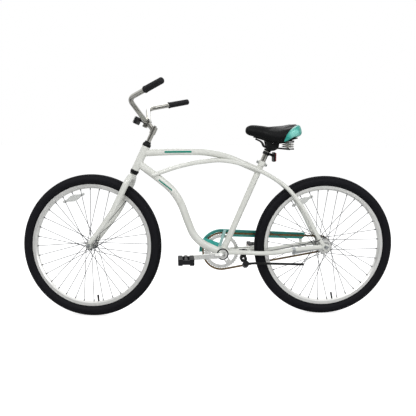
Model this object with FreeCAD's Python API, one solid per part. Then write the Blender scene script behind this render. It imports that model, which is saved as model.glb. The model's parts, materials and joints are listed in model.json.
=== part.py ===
import FreeCAD, Part
import math
import os

# Beach cruiser bicycle with a coaster brake, in millimetres.
# The origin is the rear tyre's contact point on the floor. +X runs to the rear, +Y to the drive side, +Z up.

V = FreeCAD.Vector
ORIGIN = V(0, 0, 0)
ACROSS = V(0, 1, 0)
UP = V(0, 0, 1)
SIDES = (-1, 1)

# Layout of the whole bicycle
WHEEL_RADIUS = 333.0
WHEELBASE = 1100.0
BOTTOM_BRACKET_DROP = 37.0
HEAD_TILT = 24.8
FORK_RAKE = 37.0
SEAT_TILT = 23.0
STEER_AT_REST = 11.8

# Clearances
RUNNING_CLEARANCE = 0.06
SEAT_CLEARANCE = 0.02
SOFT_CLEARANCE = 0.4
BALL_PLAY = 0.07

# Drive
CHAIN_PITCH = 12.7
CHAIN_LINKS = 108
CHAIN_PIN_PLAY = 0.015
CHAINRING_TEETH = 44
SPROCKET_TEETH = 18
CHAIN_LINE = 42.0
ROLLER_RADIUS = 3.88
ROLLER_WIDTH = 3.3
CHAIN_PLATE_HEIGHT = 8.2
CHAIN_PLATE_THICKNESS = 1.0
CHAIN_PLATE_GAP = 0.1
CHAIN_PIN_RADIUS = 1.8
CHAIN_PIN_OVERHANG = 0.5
TOOTH_GAP = 0.4
TOOTH_DEPTH = 3.4
RING_THICKNESS = 2.9
RING_BAND = 15.0
RING_ARMS = 3
RING_ARM_WIDTH = 26.0
RING_BOSS_RADIUS = 24.0
CRANK_LENGTH = 175.0
CRANK_DROOP = 2.8
CRANK_SPINDLE_RADIUS = 12.0
CRANK_ELBOW = 66.0
CRANK_FLARE = 14.0
CRANK_ARM_THICKNESS = 13.0
CRANK_ARM_ROOT = 12.5
CRANK_EYE_RADIUS = 14.0
CRANK_BEND = 22.0

# Frame tubes
HEAD_TUBE_OD = 37.0
HEAD_TUBE_WALL = 2.5
HEAD_LOW = 408.0
HEAD_HIGH = 528.0
TOP_TUBE_OD = 31.8
DOWN_TUBE_OD = 36.0
SEAT_TUBE_OD = 29.0
CHAIN_STAY_OD = 21.0
SEAT_STAY_OD = 19.0
BRIDGE_OD = 12.7
TUBE_WALL = 1.6
TOP_TUBE_AT_HEAD = 494.0
TOP_TUBE_AT_SEAT = 428.0
DOWN_TUBE_AT_HEAD = 443.0
SEAT_TUBE_TOP = 474.0
BEND_SHARE = 0.45

# Each bow gives a place along the chord of a tube as a share, and the rise above the chord
TOP_TUBE_BOW = ((0.15, 17.0), (0.33, 34.0), (0.53, 49.0), (0.70, 43.0), (0.86, 20.0))
DOWN_TUBE_BOW = (
    (0.21, 22.0),
    (0.345, 31.5),
    (0.465, 19.5),
    (0.60, -13.5),
    (0.725, -41.5),
    (0.83, -40.0),
    (0.915, -21.0),
)
# The long stays run from the sides of the down tube, past the seat tube, to the rear dropouts.
# Their bows also give the distance from the middle plane.
SEAT_STAY_ON_DOWN = 0.14
SEAT_STAY_START_SPREAD = 16.0
SEAT_STAY_START_DROP = 5.0
SEAT_STAY_BOW = (
    (0.098, 70.2, 20.5),
    (0.189, 122.5, 22.0),
    (0.312, 175.5, 22.0),
    (0.385, 191.0, 22.0),
    (0.46, 198.5, 22.0),
    (0.54, 199.0, 22.5),
    (0.62, 192.0, 27.0),
    (0.70, 178.0, 38.0),
    (0.77, 152.0, 43.0),
    (0.84, 114.0, 48.0),
    (0.905, 71.0, 53.0),
    (0.955, 31.0, 56.5),
)
SEAT_BRIDGE_AT = 0.70
CHAIN_STAY_START = (12.0, 22.0, 5.0)
CHAIN_STAY_FRONT = ((92.0, 22.5, 6.0), (168.0, 43.0, 5.0))
CHAIN_STAY_REAR = ((-240.0, 48.0, -29.0), (-117.0, 56.0, -7.0))
CHAIN_BRIDGE_CLEARANCE = 12.0

# Bottom bracket
SHELL_OD = 57.0
SHELL_BORE = 51.3
SHELL_WIDTH = 68.0
BRACKET_BALL_RADIUS = 3.15
BRACKET_BALLS = 11
BRACKET_CONE_RADIUS = 16.5
CUP_LIP = 2.0
CUP_DEPTH = 9.0
CUP_FLOOR = 4.0
DUST_COVER_RADIUS = 22.0
DUST_COVER_THICKNESS = 3.0

# Rear dropouts
REAR_SPACING = 110.0
DROPOUT_THICKNESS = 5.0
DROPOUT_RADIUS = 17.0
DROPOUT_SLOT = 24.0
FRONT_SPACING = 100.0
FORK_TIP_RADIUS = 13.0

# Headset
STEERER_OD = 25.4
QUILL_OD = 22.2
HEADSET_RADIUS = 19.8
HEADSET_BALL_RADIUS = 2.0
HEADSET_BALLS = 20
LOWER_CUP_HEIGHT = 13.0
UPPER_CUP_HEIGHT = 8.0
HEADSET_CONE_RADIUS = 13.6
HEADSET_CONE_HEIGHT = 17.0
CROWN_RACE_HEIGHT = 8.0

# Fork
BLADE_OD = 29.0
BLADE_TIP_OD = 19.0
BLADE_SPREAD = 52.5
CROWN_DROP = 47.0
BLADE_CURVE_START = 262.0
BLADE_CURVE_MIDDLE = 196.0
BLADE_CURVE_LOW = 100.0
BLADE_CURVE_AHEAD = 19.0
BLADE_WALL = 1.8
BLADE_SECTIONS = 29
BLADE_EVEN_SHARE = 0.4

# Stem, bar and grips
STEM_TOP = 626.0
STEM_HEAD_RADIUS = 14.5
STEM_HEAD_HEIGHT = 34.0
QUILL_INSERT = 70.0
BAR_OD = 22.2
BAR_FORWARD = 46.0
BAR_HEIGHT = 634.0
BAR_CLAMP_RADIUS = 17.0
BAR_CLAMP_WIDTH = 42.0
BAR_WALL = 2.0
BAR_BEND = (-114.0, 186.0, 690.0)
BAR_END = (22.0, 330.0, 812.0)
BAR_CENTRE_RUN = 38.0
BAR_BEND_RADIUS = 62.0
GRIP_LENGTH = 115.0
GRIP_RADIUS = 16.0
GRIP_RIBS = 9
GRIP_GROOVE = 1.4
GRIP_END = 3.0

# Seat post and clamp
POST_OD = 25.4
POST_INSERT = 150.0
POST_TOP = 532.0
POST_WALL = 2.2
COLLAR_HEIGHT = 22.0
COLLAR_WALL = 3.0
SEAT_CLAMP_SLOT = 3.0

# Saddle, given as stations from nose to tail: place along X from the clamp, half width, top and bottom
SADDLE_CLAMP_RADIUS = 16.5
SADDLE_CLAMP_HEIGHT = 7.0
SADDLE_PIVOT_RISE = 10.0
SADDLE_BARREL_RADIUS = 10.0
SADDLE_CHEEK_WIDTH = 12.0
SADDLE_CHEEK_OUTLINE = (
    (-22.0, 46.0),
    (46.0, 46.0),
    (44.0, 8.0),
    (36.0, -5.0),
    (22.0, -12.0),
    (4.0, -14.0),
    (-8.0, -7.0),
    (-13.0, 10.0),
)
SADDLE_BOLT_RADIUS = 4.0
RAIL_RADIUS = 3.5
RAIL_SPREAD = 22.0
RAIL_NOSE_GAP = 0.6
SADDLE_STATIONS = (
    (-111.0, 12.0, 88.0, 72.0),
    (-100.0, 23.0, 101.0, 61.0),
    (-72.0, 31.0, 106.0, 53.0),
    (-27.0, 41.0, 102.0, 41.0),
    (11.0, 63.0, 98.0, 28.0),
    (46.0, 89.0, 99.0, 27.0),
    (76.0, 106.0, 105.0, 36.0),
    (101.0, 113.0, 111.0, 46.0),
    (120.0, 110.0, 111.0, 51.0),
    (134.0, 98.0, 105.0, 55.0),
    (146.0, 78.0, 77.0, 59.0),
)
SADDLE_TUCK = 9.0
SADDLE_SHOULDER = 0.62
SADDLE_BASE_THICKNESS = 5.0
SADDLE_BASE_INSET = 19.0
PANEL_CENTRE = (150.0, 20.0)
PANEL_RADIUS = 94.0
PANEL_SPREAD = 50.0
SPRING_PLACE = 90.0
SPRING_SPREAD = 60.0
SPRING_RADIUS = 16.0
SPRING_WIRE = 2.2
SPRING_TURNS = 3
SPRING_SEAT = 19.0
SPRING_SEAT_DROP = 5.0
SPRING_SEAT_HEIGHT = -1.0
SPRING_END_GAP = 0.3

# Rear reflector on the seat post
REAR_REFLECTOR_HEIGHT = 44.0
REAR_REFLECTOR_WIDTH = 58.0
REAR_REFLECTOR_DEPTH = 9.0
REAR_REFLECTOR_LENS = 4.0
REAR_REFLECTOR_BEHIND = 31.0
REAR_REFLECTOR_DROP = 17.0
REFLECTOR_CLAMP_AT = 522.0
REFLECTOR_CLAMP_HEIGHT = 14.0
REFLECTOR_CLAMP_WALL = 4.0

# Front reflector on the bar
FRONT_REFLECTOR_SIZE = (16.0, 64.0, 34.0)
FRONT_REFLECTOR_AHEAD = 42.0
FRONT_REFLECTOR_DROP = 16.0
FRONT_REFLECTOR_LENS = 4.0
FRONT_BRACKET_WALL = 4.0
FRONT_BRACKET_WIDTH = 9.0
FRONT_BRACKET_PLACE = 29.0

# Wheels
TYRE_WIDTH = 54.0
TYRE_WALL = 4.0
RIM_RADIUS = 286.0
RIM_WIDTH = 31.0
RIM_DEPTH = 19.0
RIM_WALL = 3.0
RIM_BED = 4.5
BEAD_DEPTH = 10.0
SPOKES = 36
SPOKE_CROSS = 60.0
SPOKE_RADIUS = 1.0
SPOKE_HOLE_CLEARANCE = 0.2
NIPPLE_RADIUS = 2.1
NIPPLE_LENGTH = 14.0
SPOKE_STAGGER = 2.0
SPOKE_OFFSET = 3.7
FLANGE_THICKNESS = 2.2
FLANGE_EDGE = 2.6
TUBE_SECTION = 19.0
VALVE_RADIUS = 4.0
VALVE_LENGTH = 30.0
VALVE_CAP_RADIUS = 4.6
VALVE_CAP_LENGTH = 12.0
FRONT_VALVE_ANGLE = -82.6
REAR_VALVE_ANGLE = -78.6
WHEEL_REFLECTOR_ANGLE = 195.0
WHEEL_REFLECTOR_RADIUS = 237.0
WHEEL_REFLECTOR_BAND = 28.0
WHEEL_REFLECTOR_LENGTH = 78.0
WHEEL_REFLECTOR_THICKNESS = 17.0
WHEEL_REFLECTOR_TAB = (11.0, 9.0, 110.0)

# Hubs and axles
STUB_SHOULDER = 0.5
FRONT_AXLE_RADIUS = 4.0
FRONT_AXLE_END = 72.0
FRONT_STUB_RADIUS = 3.7
FRONT_FLANGE_RADIUS = 20.0
FRONT_FLANGE_PLACE = 33.0
FRONT_BARREL_RADIUS = 12.5
FRONT_CONE_RADIUS = 6.0
HUB_BALL_RADIUS = 2.38
FRONT_HUB_BALLS = 9
HUB_END = 4.0
HUB_WALL = 3.0
REAR_AXLE_RADIUS = 4.76
REAR_AXLE_END = 80.0
REAR_STUB_RADIUS = 4.4
REAR_FLANGE_RADIUS = 36.0
REAR_FLANGE_PLACE = 30.0
REAR_BARREL_RADIUS = 28.0
REAR_CONE_RADIUS = 12.0
REAR_HUB_BALLS = 15
DRIVER_BORE_CLEARANCE = 0.08
NUT_HEIGHT = 9.0
NUT_ACROSS_FLATS = 15.0
WASHER_RADIUS = 9.0
WASHER_THICKNESS = 2.0
BRAKE_ARM_LENGTH = 150.0
BRAKE_ARM_WIDTH = 17.0
BRAKE_ARM_THICKNESS = 3.0
BRAKE_ARM_GAP = 10.5

# Pedals
PEDAL_LENGTH = 73.0
PEDAL_WIDTH = 92.0
PEDAL_THICKNESS = 29.0
PEDAL_BAR = 21.0
PEDAL_GAP = 7.0
PEDAL_BARREL_RADIUS = 9.5
PEDAL_PLATE = 8.0
PEDAL_SPINDLE_RADIUS = 6.0
PEDAL_TREAD_CUTS = 4
PEDAL_TREAD_DEPTH = 2.5
PEDAL_REFLECTOR_SIZE = (3.0, 56.0, 13.0)

# Chain guard
GUARD_RADIUS = 107.0
GUARD_BAND = 15.0
GUARD_THICKNESS = 1.2
GUARD_PLANE = 53.0
GUARD_LIP = 13.0
GUARD_REAR = -72.0
GUARD_REAR_TOP = 53.0
GUARD_REAR_HEIGHT = 31.0
GUARD_FRONT_ANGLE = 183.0
GUARD_TIE_ANGLE = 146.0
GUARD_TIE_PLANE = 33.0
GUARD_TIE_EDGE = ((-8.0, 41.0), (-8.0, 16.0))
GUARD_TIE_SPREAD = 9.0
GUARD_RUN_HEIGHT = 38.0
GUARD_FRONT_TAB = 16.0
GUARD_STRAP_TOP = (15.0, 104.0)
GUARD_STRAP_FOOT = (-10.5, 25.0)
GUARD_STRAP_WIDTH = 14.0
GUARD_STRAP_THICKNESS = 2.0
SCREW_RADIUS = 4.0
SCREW_HEIGHT = 3.0

# Kickstand
STAND_PLACE = 111.0
STAND_NECK = (24.0, 36.0)
STAND_EYE_PLACE = (-9.0, -33.0)
STAND_EYE_RADIUS = 16.5
STAND_EYE_HOLE = 6.5
STAND_PLATE = (36.0, 44.0, 5.0)
STAND_AXIS_LEAN = 22.0
STAND_PIN_RADIUS = 5.0
STAND_PIN_HEAD = 8.0
STAND_BOSS_RADIUS = 15.0
STAND_BOSS_WIDTH = 12.0
STAND_LEG_RADIUS = 5.5
STAND_FACE = 30.0
STAND_DROP = 55.0
STAND_ELBOW = (36.0, -14.0, 6.0)
STAND_TOE = (270.0, -28.0, 3.0)

nodes = {}


# Helpers

def point_on_arc(radius, degrees, across=0.0):
    angle = math.radians(degrees)
    return V(radius * math.cos(angle), across, radius * math.sin(angle))


def rod(radius, start, end):
    run = end.sub(start)
    return Part.makeCylinder(radius, run.Length, start, run)


def sleeve(radius_out, radius_in, start, end):
    return rod(radius_out, start, end).cut(rod(radius_in, start, end))


def largest(shape):
    return max(shape.Solids, key=lambda solid: solid.Volume)


def fused(shapes):
    return shapes[0].multiFuse(shapes[1:]).removeSplitter()


def turned(profile, axis):
    """Solid of revolution from (radius, height) corners, about the Y or the Z axis."""
    if axis == ACROSS:
        corners = [V(r, h, 0) for r, h in profile]
    else:
        corners = [V(r, 0, h) for r, h in profile]
    face = Part.Face(Part.makePolygon(corners + corners[:1]))
    return face.revolve(ORIGIN, axis, 360)


def tangent_path(points, radius=None):
    """Wire of straight runs joined by tangent arcs, as large as the runs allow or of one radius."""
    edges = []
    start = points[0]
    for before, corner, after in zip(points, points[1:], points[2:]):
        back = before.sub(corner)
        onward = after.sub(corner)
        half = back.getAngle(onward) / 2
        room = BEND_SHARE * min(back.Length, onward.Length)
        setback = room if radius is None else min(room, radius / math.tan(half))
        size = setback * math.tan(half)
        back.normalize()
        onward.normalize()
        middle = back.add(onward)
        middle.normalize()
        inside = size / math.sin(half) - size
        first = corner.add(back.multiply(setback))
        last = corner.add(onward.multiply(setback))
        edges.append(Part.LineSegment(start, first).toShape())
        edges.append(Part.Arc(first, corner.add(middle.multiply(inside)), last).toShape())
        start = last
    edges.append(Part.LineSegment(start, points[-1]).toShape())
    return Part.Wire(edges)


def swept(points, radius, bend=None):
    """Solid round bar along a path."""
    path = tangent_path(points, bend)
    section = Part.Wire(Part.Circle(points[0], points[1].sub(points[0]), radius).toShape())
    return path.makePipeShell([section], True, False)


def swept_tube(points, outer, wall, bend=None):
    """Hollow round tube along a path."""
    return swept(points, outer / 2, bend).cut(swept(points, outer / 2 - wall, bend))


def bowed(start, end, bow):
    """Points of a tube from start to end, bowed in the plane of the chord and the Z axis."""
    chord = end.sub(start)
    rise = V(-chord.z, 0, chord.x)
    rise.normalize()
    points = [start]
    for bend in bow:
        place = start.add(V(chord).multiply(bend[0])).add(V(rise).multiply(bend[1]))
        if len(bend) > 2:
            place.y = bend[2]
        points.append(place)
    return points + [end]


def mirrored(shape):
    return shape.mirror(ORIGIN, ACROSS)


def boxed(low, high):
    size = high.sub(low)
    return Part.makeBox(size.x, size.y, size.z, low)


def rounded_box(low, high, radius, along):
    """Box whose edges along one axis are rounded."""
    box = boxed(low, high)
    edges = [e for e in box.Edges if abs(e.tangentAt(e.FirstParameter).dot(along)) > 0.9]
    return box.makeFillet(radius, edges)


def hexagon(across_flats, start, run):
    """Six-sided nut blank from a start point along a run."""
    corner = across_flats / 2 / math.cos(math.radians(30))
    side = run.cross(V(1, 0, 0))
    if side.Length < 0.1 * run.Length:
        side = run.cross(UP)
    side.normalize()
    up = V(run).normalize().cross(side)
    corners = []
    for step in range(7):
        angle = math.radians(60 * step)
        corners.append(start + side * (corner * math.cos(angle)) + up * (corner * math.sin(angle)))
    return Part.Face(Part.makePolygon(corners)).extrude(run)


def ball_row(count, radius, ball, axis, height):
    balls = []
    for step in range(count):
        angle = 2 * math.pi * step / count
        if axis == ACROSS:
            centre = V(radius * math.cos(angle), height, radius * math.sin(angle))
        else:
            centre = V(radius * math.cos(angle), radius * math.sin(angle), height)
        balls.append(Part.makeSphere(ball, centre))
    return balls


# Shared places

PITCH_RADIUS_RING = CHAIN_PITCH / 2 / math.sin(math.pi / CHAINRING_TEETH)
PITCH_RADIUS_SPROCKET = CHAIN_PITCH / 2 / math.sin(math.pi / SPROCKET_TEETH)
CHAIN_STEP = CHAIN_PITCH + CHAIN_PIN_PLAY
REAR_AXLE = V(0, 0, WHEEL_RADIUS)


def chain_loop_length(centres):
    spread = PITCH_RADIUS_RING - PITCH_RADIUS_SPROCKET
    lean = math.asin(spread / centres)
    run = math.sqrt(centres * centres - spread * spread)
    front = PITCH_RADIUS_RING * (math.pi + 2 * lean)
    rear = PITCH_RADIUS_SPROCKET * (math.pi - 2 * lean)
    return 2 * run + front + rear


def chain_centres():
    """Distance from crank to rear axle at which the chain closes on a whole number of links."""
    low = 1.01 * (PITCH_RADIUS_RING + PITCH_RADIUS_SPROCKET)
    high = CHAIN_LINKS * CHAIN_STEP / 2
    for _ in range(60):
        middle = (low + high) / 2
        if chain_loop_length(middle) < CHAIN_LINKS * CHAIN_STEP:
            low = middle
        else:
            high = middle
    return low


CENTRES = chain_centres()
BRACKET = V(-math.sqrt(CENTRES ** 2 - BOTTOM_BRACKET_DROP ** 2), 0, WHEEL_RADIUS - BOTTOM_BRACKET_DROP)
HEAD_LEAN = math.radians(HEAD_TILT)
STEERING_FOOT = V(
    -WHEELBASE + FORK_RAKE * math.cos(HEAD_LEAN),
    0,
    WHEEL_RADIUS - FORK_RAKE * math.sin(HEAD_LEAN),
)
SEAT_LEAN = math.radians(SEAT_TILT)


def head_point(height):
    return STEERING_FOOT.add(V(math.sin(HEAD_LEAN), 0, math.cos(HEAD_LEAN)).multiply(height))


def seat_point(height):
    return BRACKET.add(V(math.sin(SEAT_LEAN), 0, math.cos(SEAT_LEAN)).multiply(height))


def on_head(shape):
    """Piece made round the Z axis, moved to the steering axis."""
    return shape.rotated(ORIGIN, ACROSS, HEAD_TILT).translated(STEERING_FOOT)


def on_steering(shape):
    """Piece made round the Z axis, moved to the steering axis and turned with the bars."""
    return on_head(shape.rotated(ORIGIN, UP, -STEER_AT_REST))


def on_seat(shape):
    """Piece made round the Z axis, moved to the seat tube's axis."""
    return shape.rotated(ORIGIN, ACROSS, SEAT_TILT).translated(BRACKET)


# Frame

def head_assembly():
    low = V(0, 0, HEAD_LOW)
    high = V(0, 0, HEAD_HIGH)
    bore = HEAD_TUBE_OD / 2 - HEAD_TUBE_WALL
    nodes["head_tube"] = [on_head(sleeve(HEAD_TUBE_OD / 2, bore, low, high))]

    throat = STEERER_OD / 2 + 0.8
    race = HEADSET_RADIUS - 2.0
    ball_circle = (race + throat) / 2
    lower_low = HEAD_LOW - LOWER_CUP_HEIGHT
    lower_race = lower_low + 2 * HEADSET_BALL_RADIUS + 1.2
    lower = turned(
        (
            (race, lower_low),
            (HEADSET_RADIUS, lower_low),
            (HEADSET_RADIUS, HEAD_LOW - 3.0),
            (HEAD_TUBE_OD / 2, HEAD_LOW),
            (throat, HEAD_LOW),
            (throat, lower_race),
            (race, lower_race),
        ),
        UP,
    )
    upper_high = HEAD_HIGH + UPPER_CUP_HEIGHT
    upper_race = upper_high - 2 * HEADSET_BALL_RADIUS - 1.2
    upper = turned(
        (
            (throat, HEAD_HIGH),
            (HEAD_TUBE_OD / 2, HEAD_HIGH),
            (HEADSET_RADIUS, HEAD_HIGH + 2.0),
            (HEADSET_RADIUS, upper_high),
            (race, upper_high),
            (race, upper_race),
            (throat, upper_race),
        ),
        UP,
    )
    nodes["headset_cups"] = [on_head(lower), on_head(upper)]

    lower_balls = lower_race - BALL_PLAY - HEADSET_BALL_RADIUS
    upper_balls = upper_race + BALL_PLAY + HEADSET_BALL_RADIUS
    balls = ball_row(HEADSET_BALLS, ball_circle, HEADSET_BALL_RADIUS, UP, lower_balls)
    balls += ball_row(HEADSET_BALLS, ball_circle, HEADSET_BALL_RADIUS, UP, upper_balls)
    nodes["bearing_balls"] = [on_head(ball) for ball in balls]

    # Steering side: the crown race sits on the fork, the adjusting cone and lock nut on the steerer's thread
    race_top = lower_balls - HEADSET_BALL_RADIUS - BALL_PLAY
    race_low = race_top - CROWN_RACE_HEIGHT
    cone_low = upper_balls + HEADSET_BALL_RADIUS + BALL_PLAY
    inner = STEERER_OD / 2 + SEAT_CLEARANCE
    crown_race = turned(
        (
            (inner, race_low),
            (HEADSET_RADIUS - 2.0, race_low),
            (race - 0.6, lower_low - 1.0),
            (race - 0.6, race_top),
            (inner, race_top),
        ),
        UP,
    )
    cone_top = upper_high + HEADSET_CONE_HEIGHT
    cone = turned(
        (
            (inner, cone_low),
            (race - 0.6, cone_low),
            (race - 0.6, upper_high + 0.5),
            (HEADSET_RADIUS + 0.6, upper_high + 0.5),
            (HEADSET_RADIUS, upper_high + 3.5),
            (HEADSET_CONE_RADIUS + 1.0, cone_top - 6.0),
            (inner, cone_top - 6.0),
        ),
        UP,
    )
    lock_nut = turned(
        (
            (inner, cone_top - 6.0),
            (HEADSET_CONE_RADIUS + 1.0, cone_top - 6.0),
            (HEADSET_CONE_RADIUS + 1.0, cone_top - 1.0),
            (HEADSET_CONE_RADIUS, cone_top),
            (inner, cone_top),
        ),
        UP,
    )
    nodes["headset_locknut"] = [on_steering(piece) for piece in (crown_race, cone, lock_nut)]
    return race_low, cone_top


def main_frame():
    shell_half = V(0, SHELL_WIDTH / 2, 0)
    shell_filled = rod(SHELL_OD / 2, BRACKET.sub(shell_half), BRACKET.add(shell_half))
    shell_bore = rod(SHELL_BORE / 2, BRACKET.sub(shell_half), BRACKET.add(shell_half))
    nodes["bottom_bracket_shell"] = [shell_filled.cut(shell_bore)]

    head_filled = on_head(rod(HEAD_TUBE_OD / 2, V(0, 0, HEAD_LOW), V(0, 0, HEAD_HIGH)))
    seat_line = [BRACKET, seat_point(SEAT_TUBE_TOP)]
    seat_filled = rod(SEAT_TUBE_OD / 2, *seat_line)
    seat_bore = rod(POST_OD / 2 + RUNNING_CLEARANCE, *seat_line)
    nodes["seat_tube"] = [largest(seat_filled.cut(seat_bore).cut(shell_filled))]

    top_points = bowed(head_point(TOP_TUBE_AT_HEAD), seat_point(TOP_TUBE_AT_SEAT), TOP_TUBE_BOW)
    top_filled = swept(top_points, TOP_TUBE_OD / 2)
    top = swept_tube(top_points, TOP_TUBE_OD, TUBE_WALL)
    nodes["top_tube"] = [largest(top.cut(head_filled).cut(seat_filled))]

    down_points = bowed(head_point(DOWN_TUBE_AT_HEAD), BRACKET, DOWN_TUBE_BOW)
    down_filled = swept(down_points, DOWN_TUBE_OD / 2)
    down = swept_tube(down_points, DOWN_TUBE_OD, TUBE_WALL)
    down = down.cut(head_filled).cut(shell_filled).cut(seat_filled)
    nodes["down_tube"] = [largest(down)]

    leave = path_place(tangent_path(down_points), SEAT_STAY_ON_DOWN)
    return shell_filled, seat_filled, [seat_filled, down_filled, top_filled], leave


def path_place(path, share):
    """Point at a share of a path's length."""
    return path.discretize(Number=201)[round(200 * share)]


def rear_triangle(shell_filled, seat_filled, stay_neighbours, leave):
    plate_middle = (REAR_SPACING + DROPOUT_THICKNESS) / 2
    plate_low = V(0, REAR_SPACING / 2, 0)
    plate_run = V(0, DROPOUT_THICKNESS, 0)

    # Dropout plate: a round eye at the axle, a tongue for each stay and a slot open to the front and below
    eye = Part.makeCylinder(DROPOUT_RADIUS, DROPOUT_THICKNESS, REAR_AXLE.add(plate_low), ACROSS)
    forward_tip = REAR_AXLE.add(V(-52, plate_middle, 2))
    upper_tip = REAR_AXLE.add(V(-28, plate_middle, 34))
    tongues = []
    for tip, width in ((forward_tip, 17.0), (upper_tip, 15.0)):
        run = tip.sub(REAR_AXLE)
        run.y = 0
        side = V(run).normalize().cross(ACROSS).multiply(width / 2)
        base = REAR_AXLE.add(plate_low)
        corners = [base.add(side), base.sub(side), base.sub(side).add(run), base.add(side).add(run)]
        tongues.append(Part.Face(Part.makePolygon(corners + corners[:1])).extrude(plate_run))
    plate = fused([eye] + tongues)
    slot_radius = REAR_AXLE_RADIUS + RUNNING_CLEARANCE
    slot = rod(slot_radius, REAR_AXLE.add(plate_low), REAR_AXLE.add(plate_low).add(plate_run))
    slot_box = boxed(
        REAR_AXLE.add(V(0, REAR_SPACING / 2, -slot_radius)),
        REAR_AXLE.add(V(DROPOUT_SLOT, REAR_SPACING / 2 + DROPOUT_THICKNESS, slot_radius)),
    )
    plate = plate.cut(slot.fuse(slot_box))
    nodes["rear_dropouts"] = [plate, mirrored(plate)]

    start = BRACKET.add(V(*CHAIN_STAY_START))
    chain_points = [start]
    chain_points += [BRACKET.add(V(*place)) for place in CHAIN_STAY_FRONT]
    chain_points += [REAR_AXLE.add(V(*place)) for place in CHAIN_STAY_REAR]
    chain_points.append(forward_tip.add(V(30, 0, 0)))
    chain_stay = swept_tube(chain_points, CHAIN_STAY_OD, TUBE_WALL)
    wheel_room = rod(
        DROPOUT_RADIUS + 4.0,
        REAR_AXLE.sub(V(0, 2 * REAR_SPACING, 0)),
        REAR_AXLE.add(V(0, 2 * REAR_SPACING, 0)),
    )
    chain_stay = largest(chain_stay.cut(shell_filled).cut(seat_filled).cut(wheel_room).cut(plate))

    seat_start = leave.add(V(0, SEAT_STAY_START_SPREAD, -SEAT_STAY_START_DROP))
    seat_points = bowed(seat_start, upper_tip.sub(V(4, 0, -6)), SEAT_STAY_BOW)
    seat_stay = swept_tube(seat_points, SEAT_STAY_OD, TUBE_WALL)
    seat_stay = largest(seat_stay.cut(stay_neighbours + [wheel_room, plate]))

    chain_filled = swept(chain_points, CHAIN_STAY_OD / 2)
    seat_stay_filled = swept(seat_points, SEAT_STAY_OD / 2)
    bridge_x = -WHEEL_RADIUS - CHAIN_BRIDGE_CLEARANCE - BRIDGE_OD / 2
    chain_middle = V(bridge_x, 0, BRACKET.z + CHAIN_STAY_FRONT[1][2])
    chain_bridge = bridge(chain_middle, chain_filled)
    bridge_step = [bend[0] for bend in SEAT_STAY_BOW].index(SEAT_BRIDGE_AT) + 1
    seat_middle = V(seat_points[bridge_step])
    seat_middle.y = 0
    seat_bridge = bridge(seat_middle, seat_stay_filled)
    nodes["chain_stays"] = [chain_stay, mirrored(chain_stay), chain_bridge]
    nodes["seat_stays"] = [seat_stay, mirrored(seat_stay), seat_bridge]
    return chain_points


def bridge(middle, stay):
    """Short cross tube between a pair of stays."""
    half = V(0, REAR_SPACING / 2, 0)
    tube = sleeve(BRIDGE_OD / 2, BRIDGE_OD / 2 - TUBE_WALL, middle.sub(half), middle.add(half))
    tube = tube.cut(stay).cut(mirrored(stay))
    return min(tube.Solids, key=lambda solid: abs(solid.CenterOfMass.y))


def bottom_bracket():
    half = SHELL_WIDTH / 2
    race = BRACKET_CONE_RADIUS + 2 * BRACKET_BALL_RADIUS + 2 * BALL_PLAY
    floor = half - CUP_DEPTH + CUP_FLOOR
    throat = CRANK_SPINDLE_RADIUS + 4.0
    cup = turned(
        (
            (throat, half - CUP_DEPTH),
            (SHELL_BORE / 2, half - CUP_DEPTH),
            (SHELL_BORE / 2, half),
            (SHELL_OD / 2 - 1.0, half),
            (SHELL_OD / 2 - 1.0, half + CUP_LIP),
            (race, half + CUP_LIP),
            (race, floor),
            (throat, floor),
        ),
        ACROSS,
    ).translated(BRACKET)
    nodes["bottom_bracket_cups"] = [cup, mirrored(cup)]
    ball_place = floor + BALL_PLAY + BRACKET_BALL_RADIUS
    circle = BRACKET_CONE_RADIUS + BALL_PLAY + BRACKET_BALL_RADIUS
    for side in SIDES:
        row = ball_row(BRACKET_BALLS, circle, BRACKET_BALL_RADIUS, ACROSS, side * ball_place)
        nodes["bearing_balls"] += [ball.translated(BRACKET) for ball in row]


def seat_clamp():
    top = SEAT_TUBE_TOP
    low = V(0, 0, top - COLLAR_HEIGHT)
    high = V(0, 0, top)
    inner = SEAT_TUBE_OD / 2 + SEAT_CLEARANCE
    collar = sleeve(inner + COLLAR_WALL, inner, low, high)
    reach = inner + COLLAR_WALL + 9.0
    ear_half = SEAT_CLAMP_SLOT / 2 + 4.0
    slot = boxed(V(-reach - 1, -SEAT_CLAMP_SLOT / 2, low.z), V(reach + 1, SEAT_CLAMP_SLOT / 2, top))
    bore = rod(inner, low, high)
    pieces = []
    holes = []
    for side in SIDES:
        ear = boxed(
            V(min(0, side * reach), -ear_half, top - COLLAR_HEIGHT + 4),
            V(max(0, side * reach), ear_half, top - 3),
        )
        collar = fused([collar, ear.cut(bore)])
        centre = V(side * (reach - 5.0), 0, top - COLLAR_HEIGHT / 2)
        head_end = centre.sub(V(0, ear_half + 5.0, 0))
        head_start = centre.sub(V(0, ear_half, 0))
        nut_start = centre.add(V(0, ear_half, 0))
        shank_end = centre.add(V(0, ear_half + 7.0, 0))
        shank = rod(3.0, head_start, shank_end)
        pieces.append(fused([shank, rod(5.5, head_end, head_start)]))
        pieces.append(hexagon(10.0, nut_start, V(0, 5.0, 0)).cut(shank))
        holes.append(rod(3.1, head_start, nut_start))
    halves = collar.cut([slot] + holes).Solids
    nodes["seat_clamp"] = [on_seat(piece) for piece in halves + pieces]


# Seat

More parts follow.
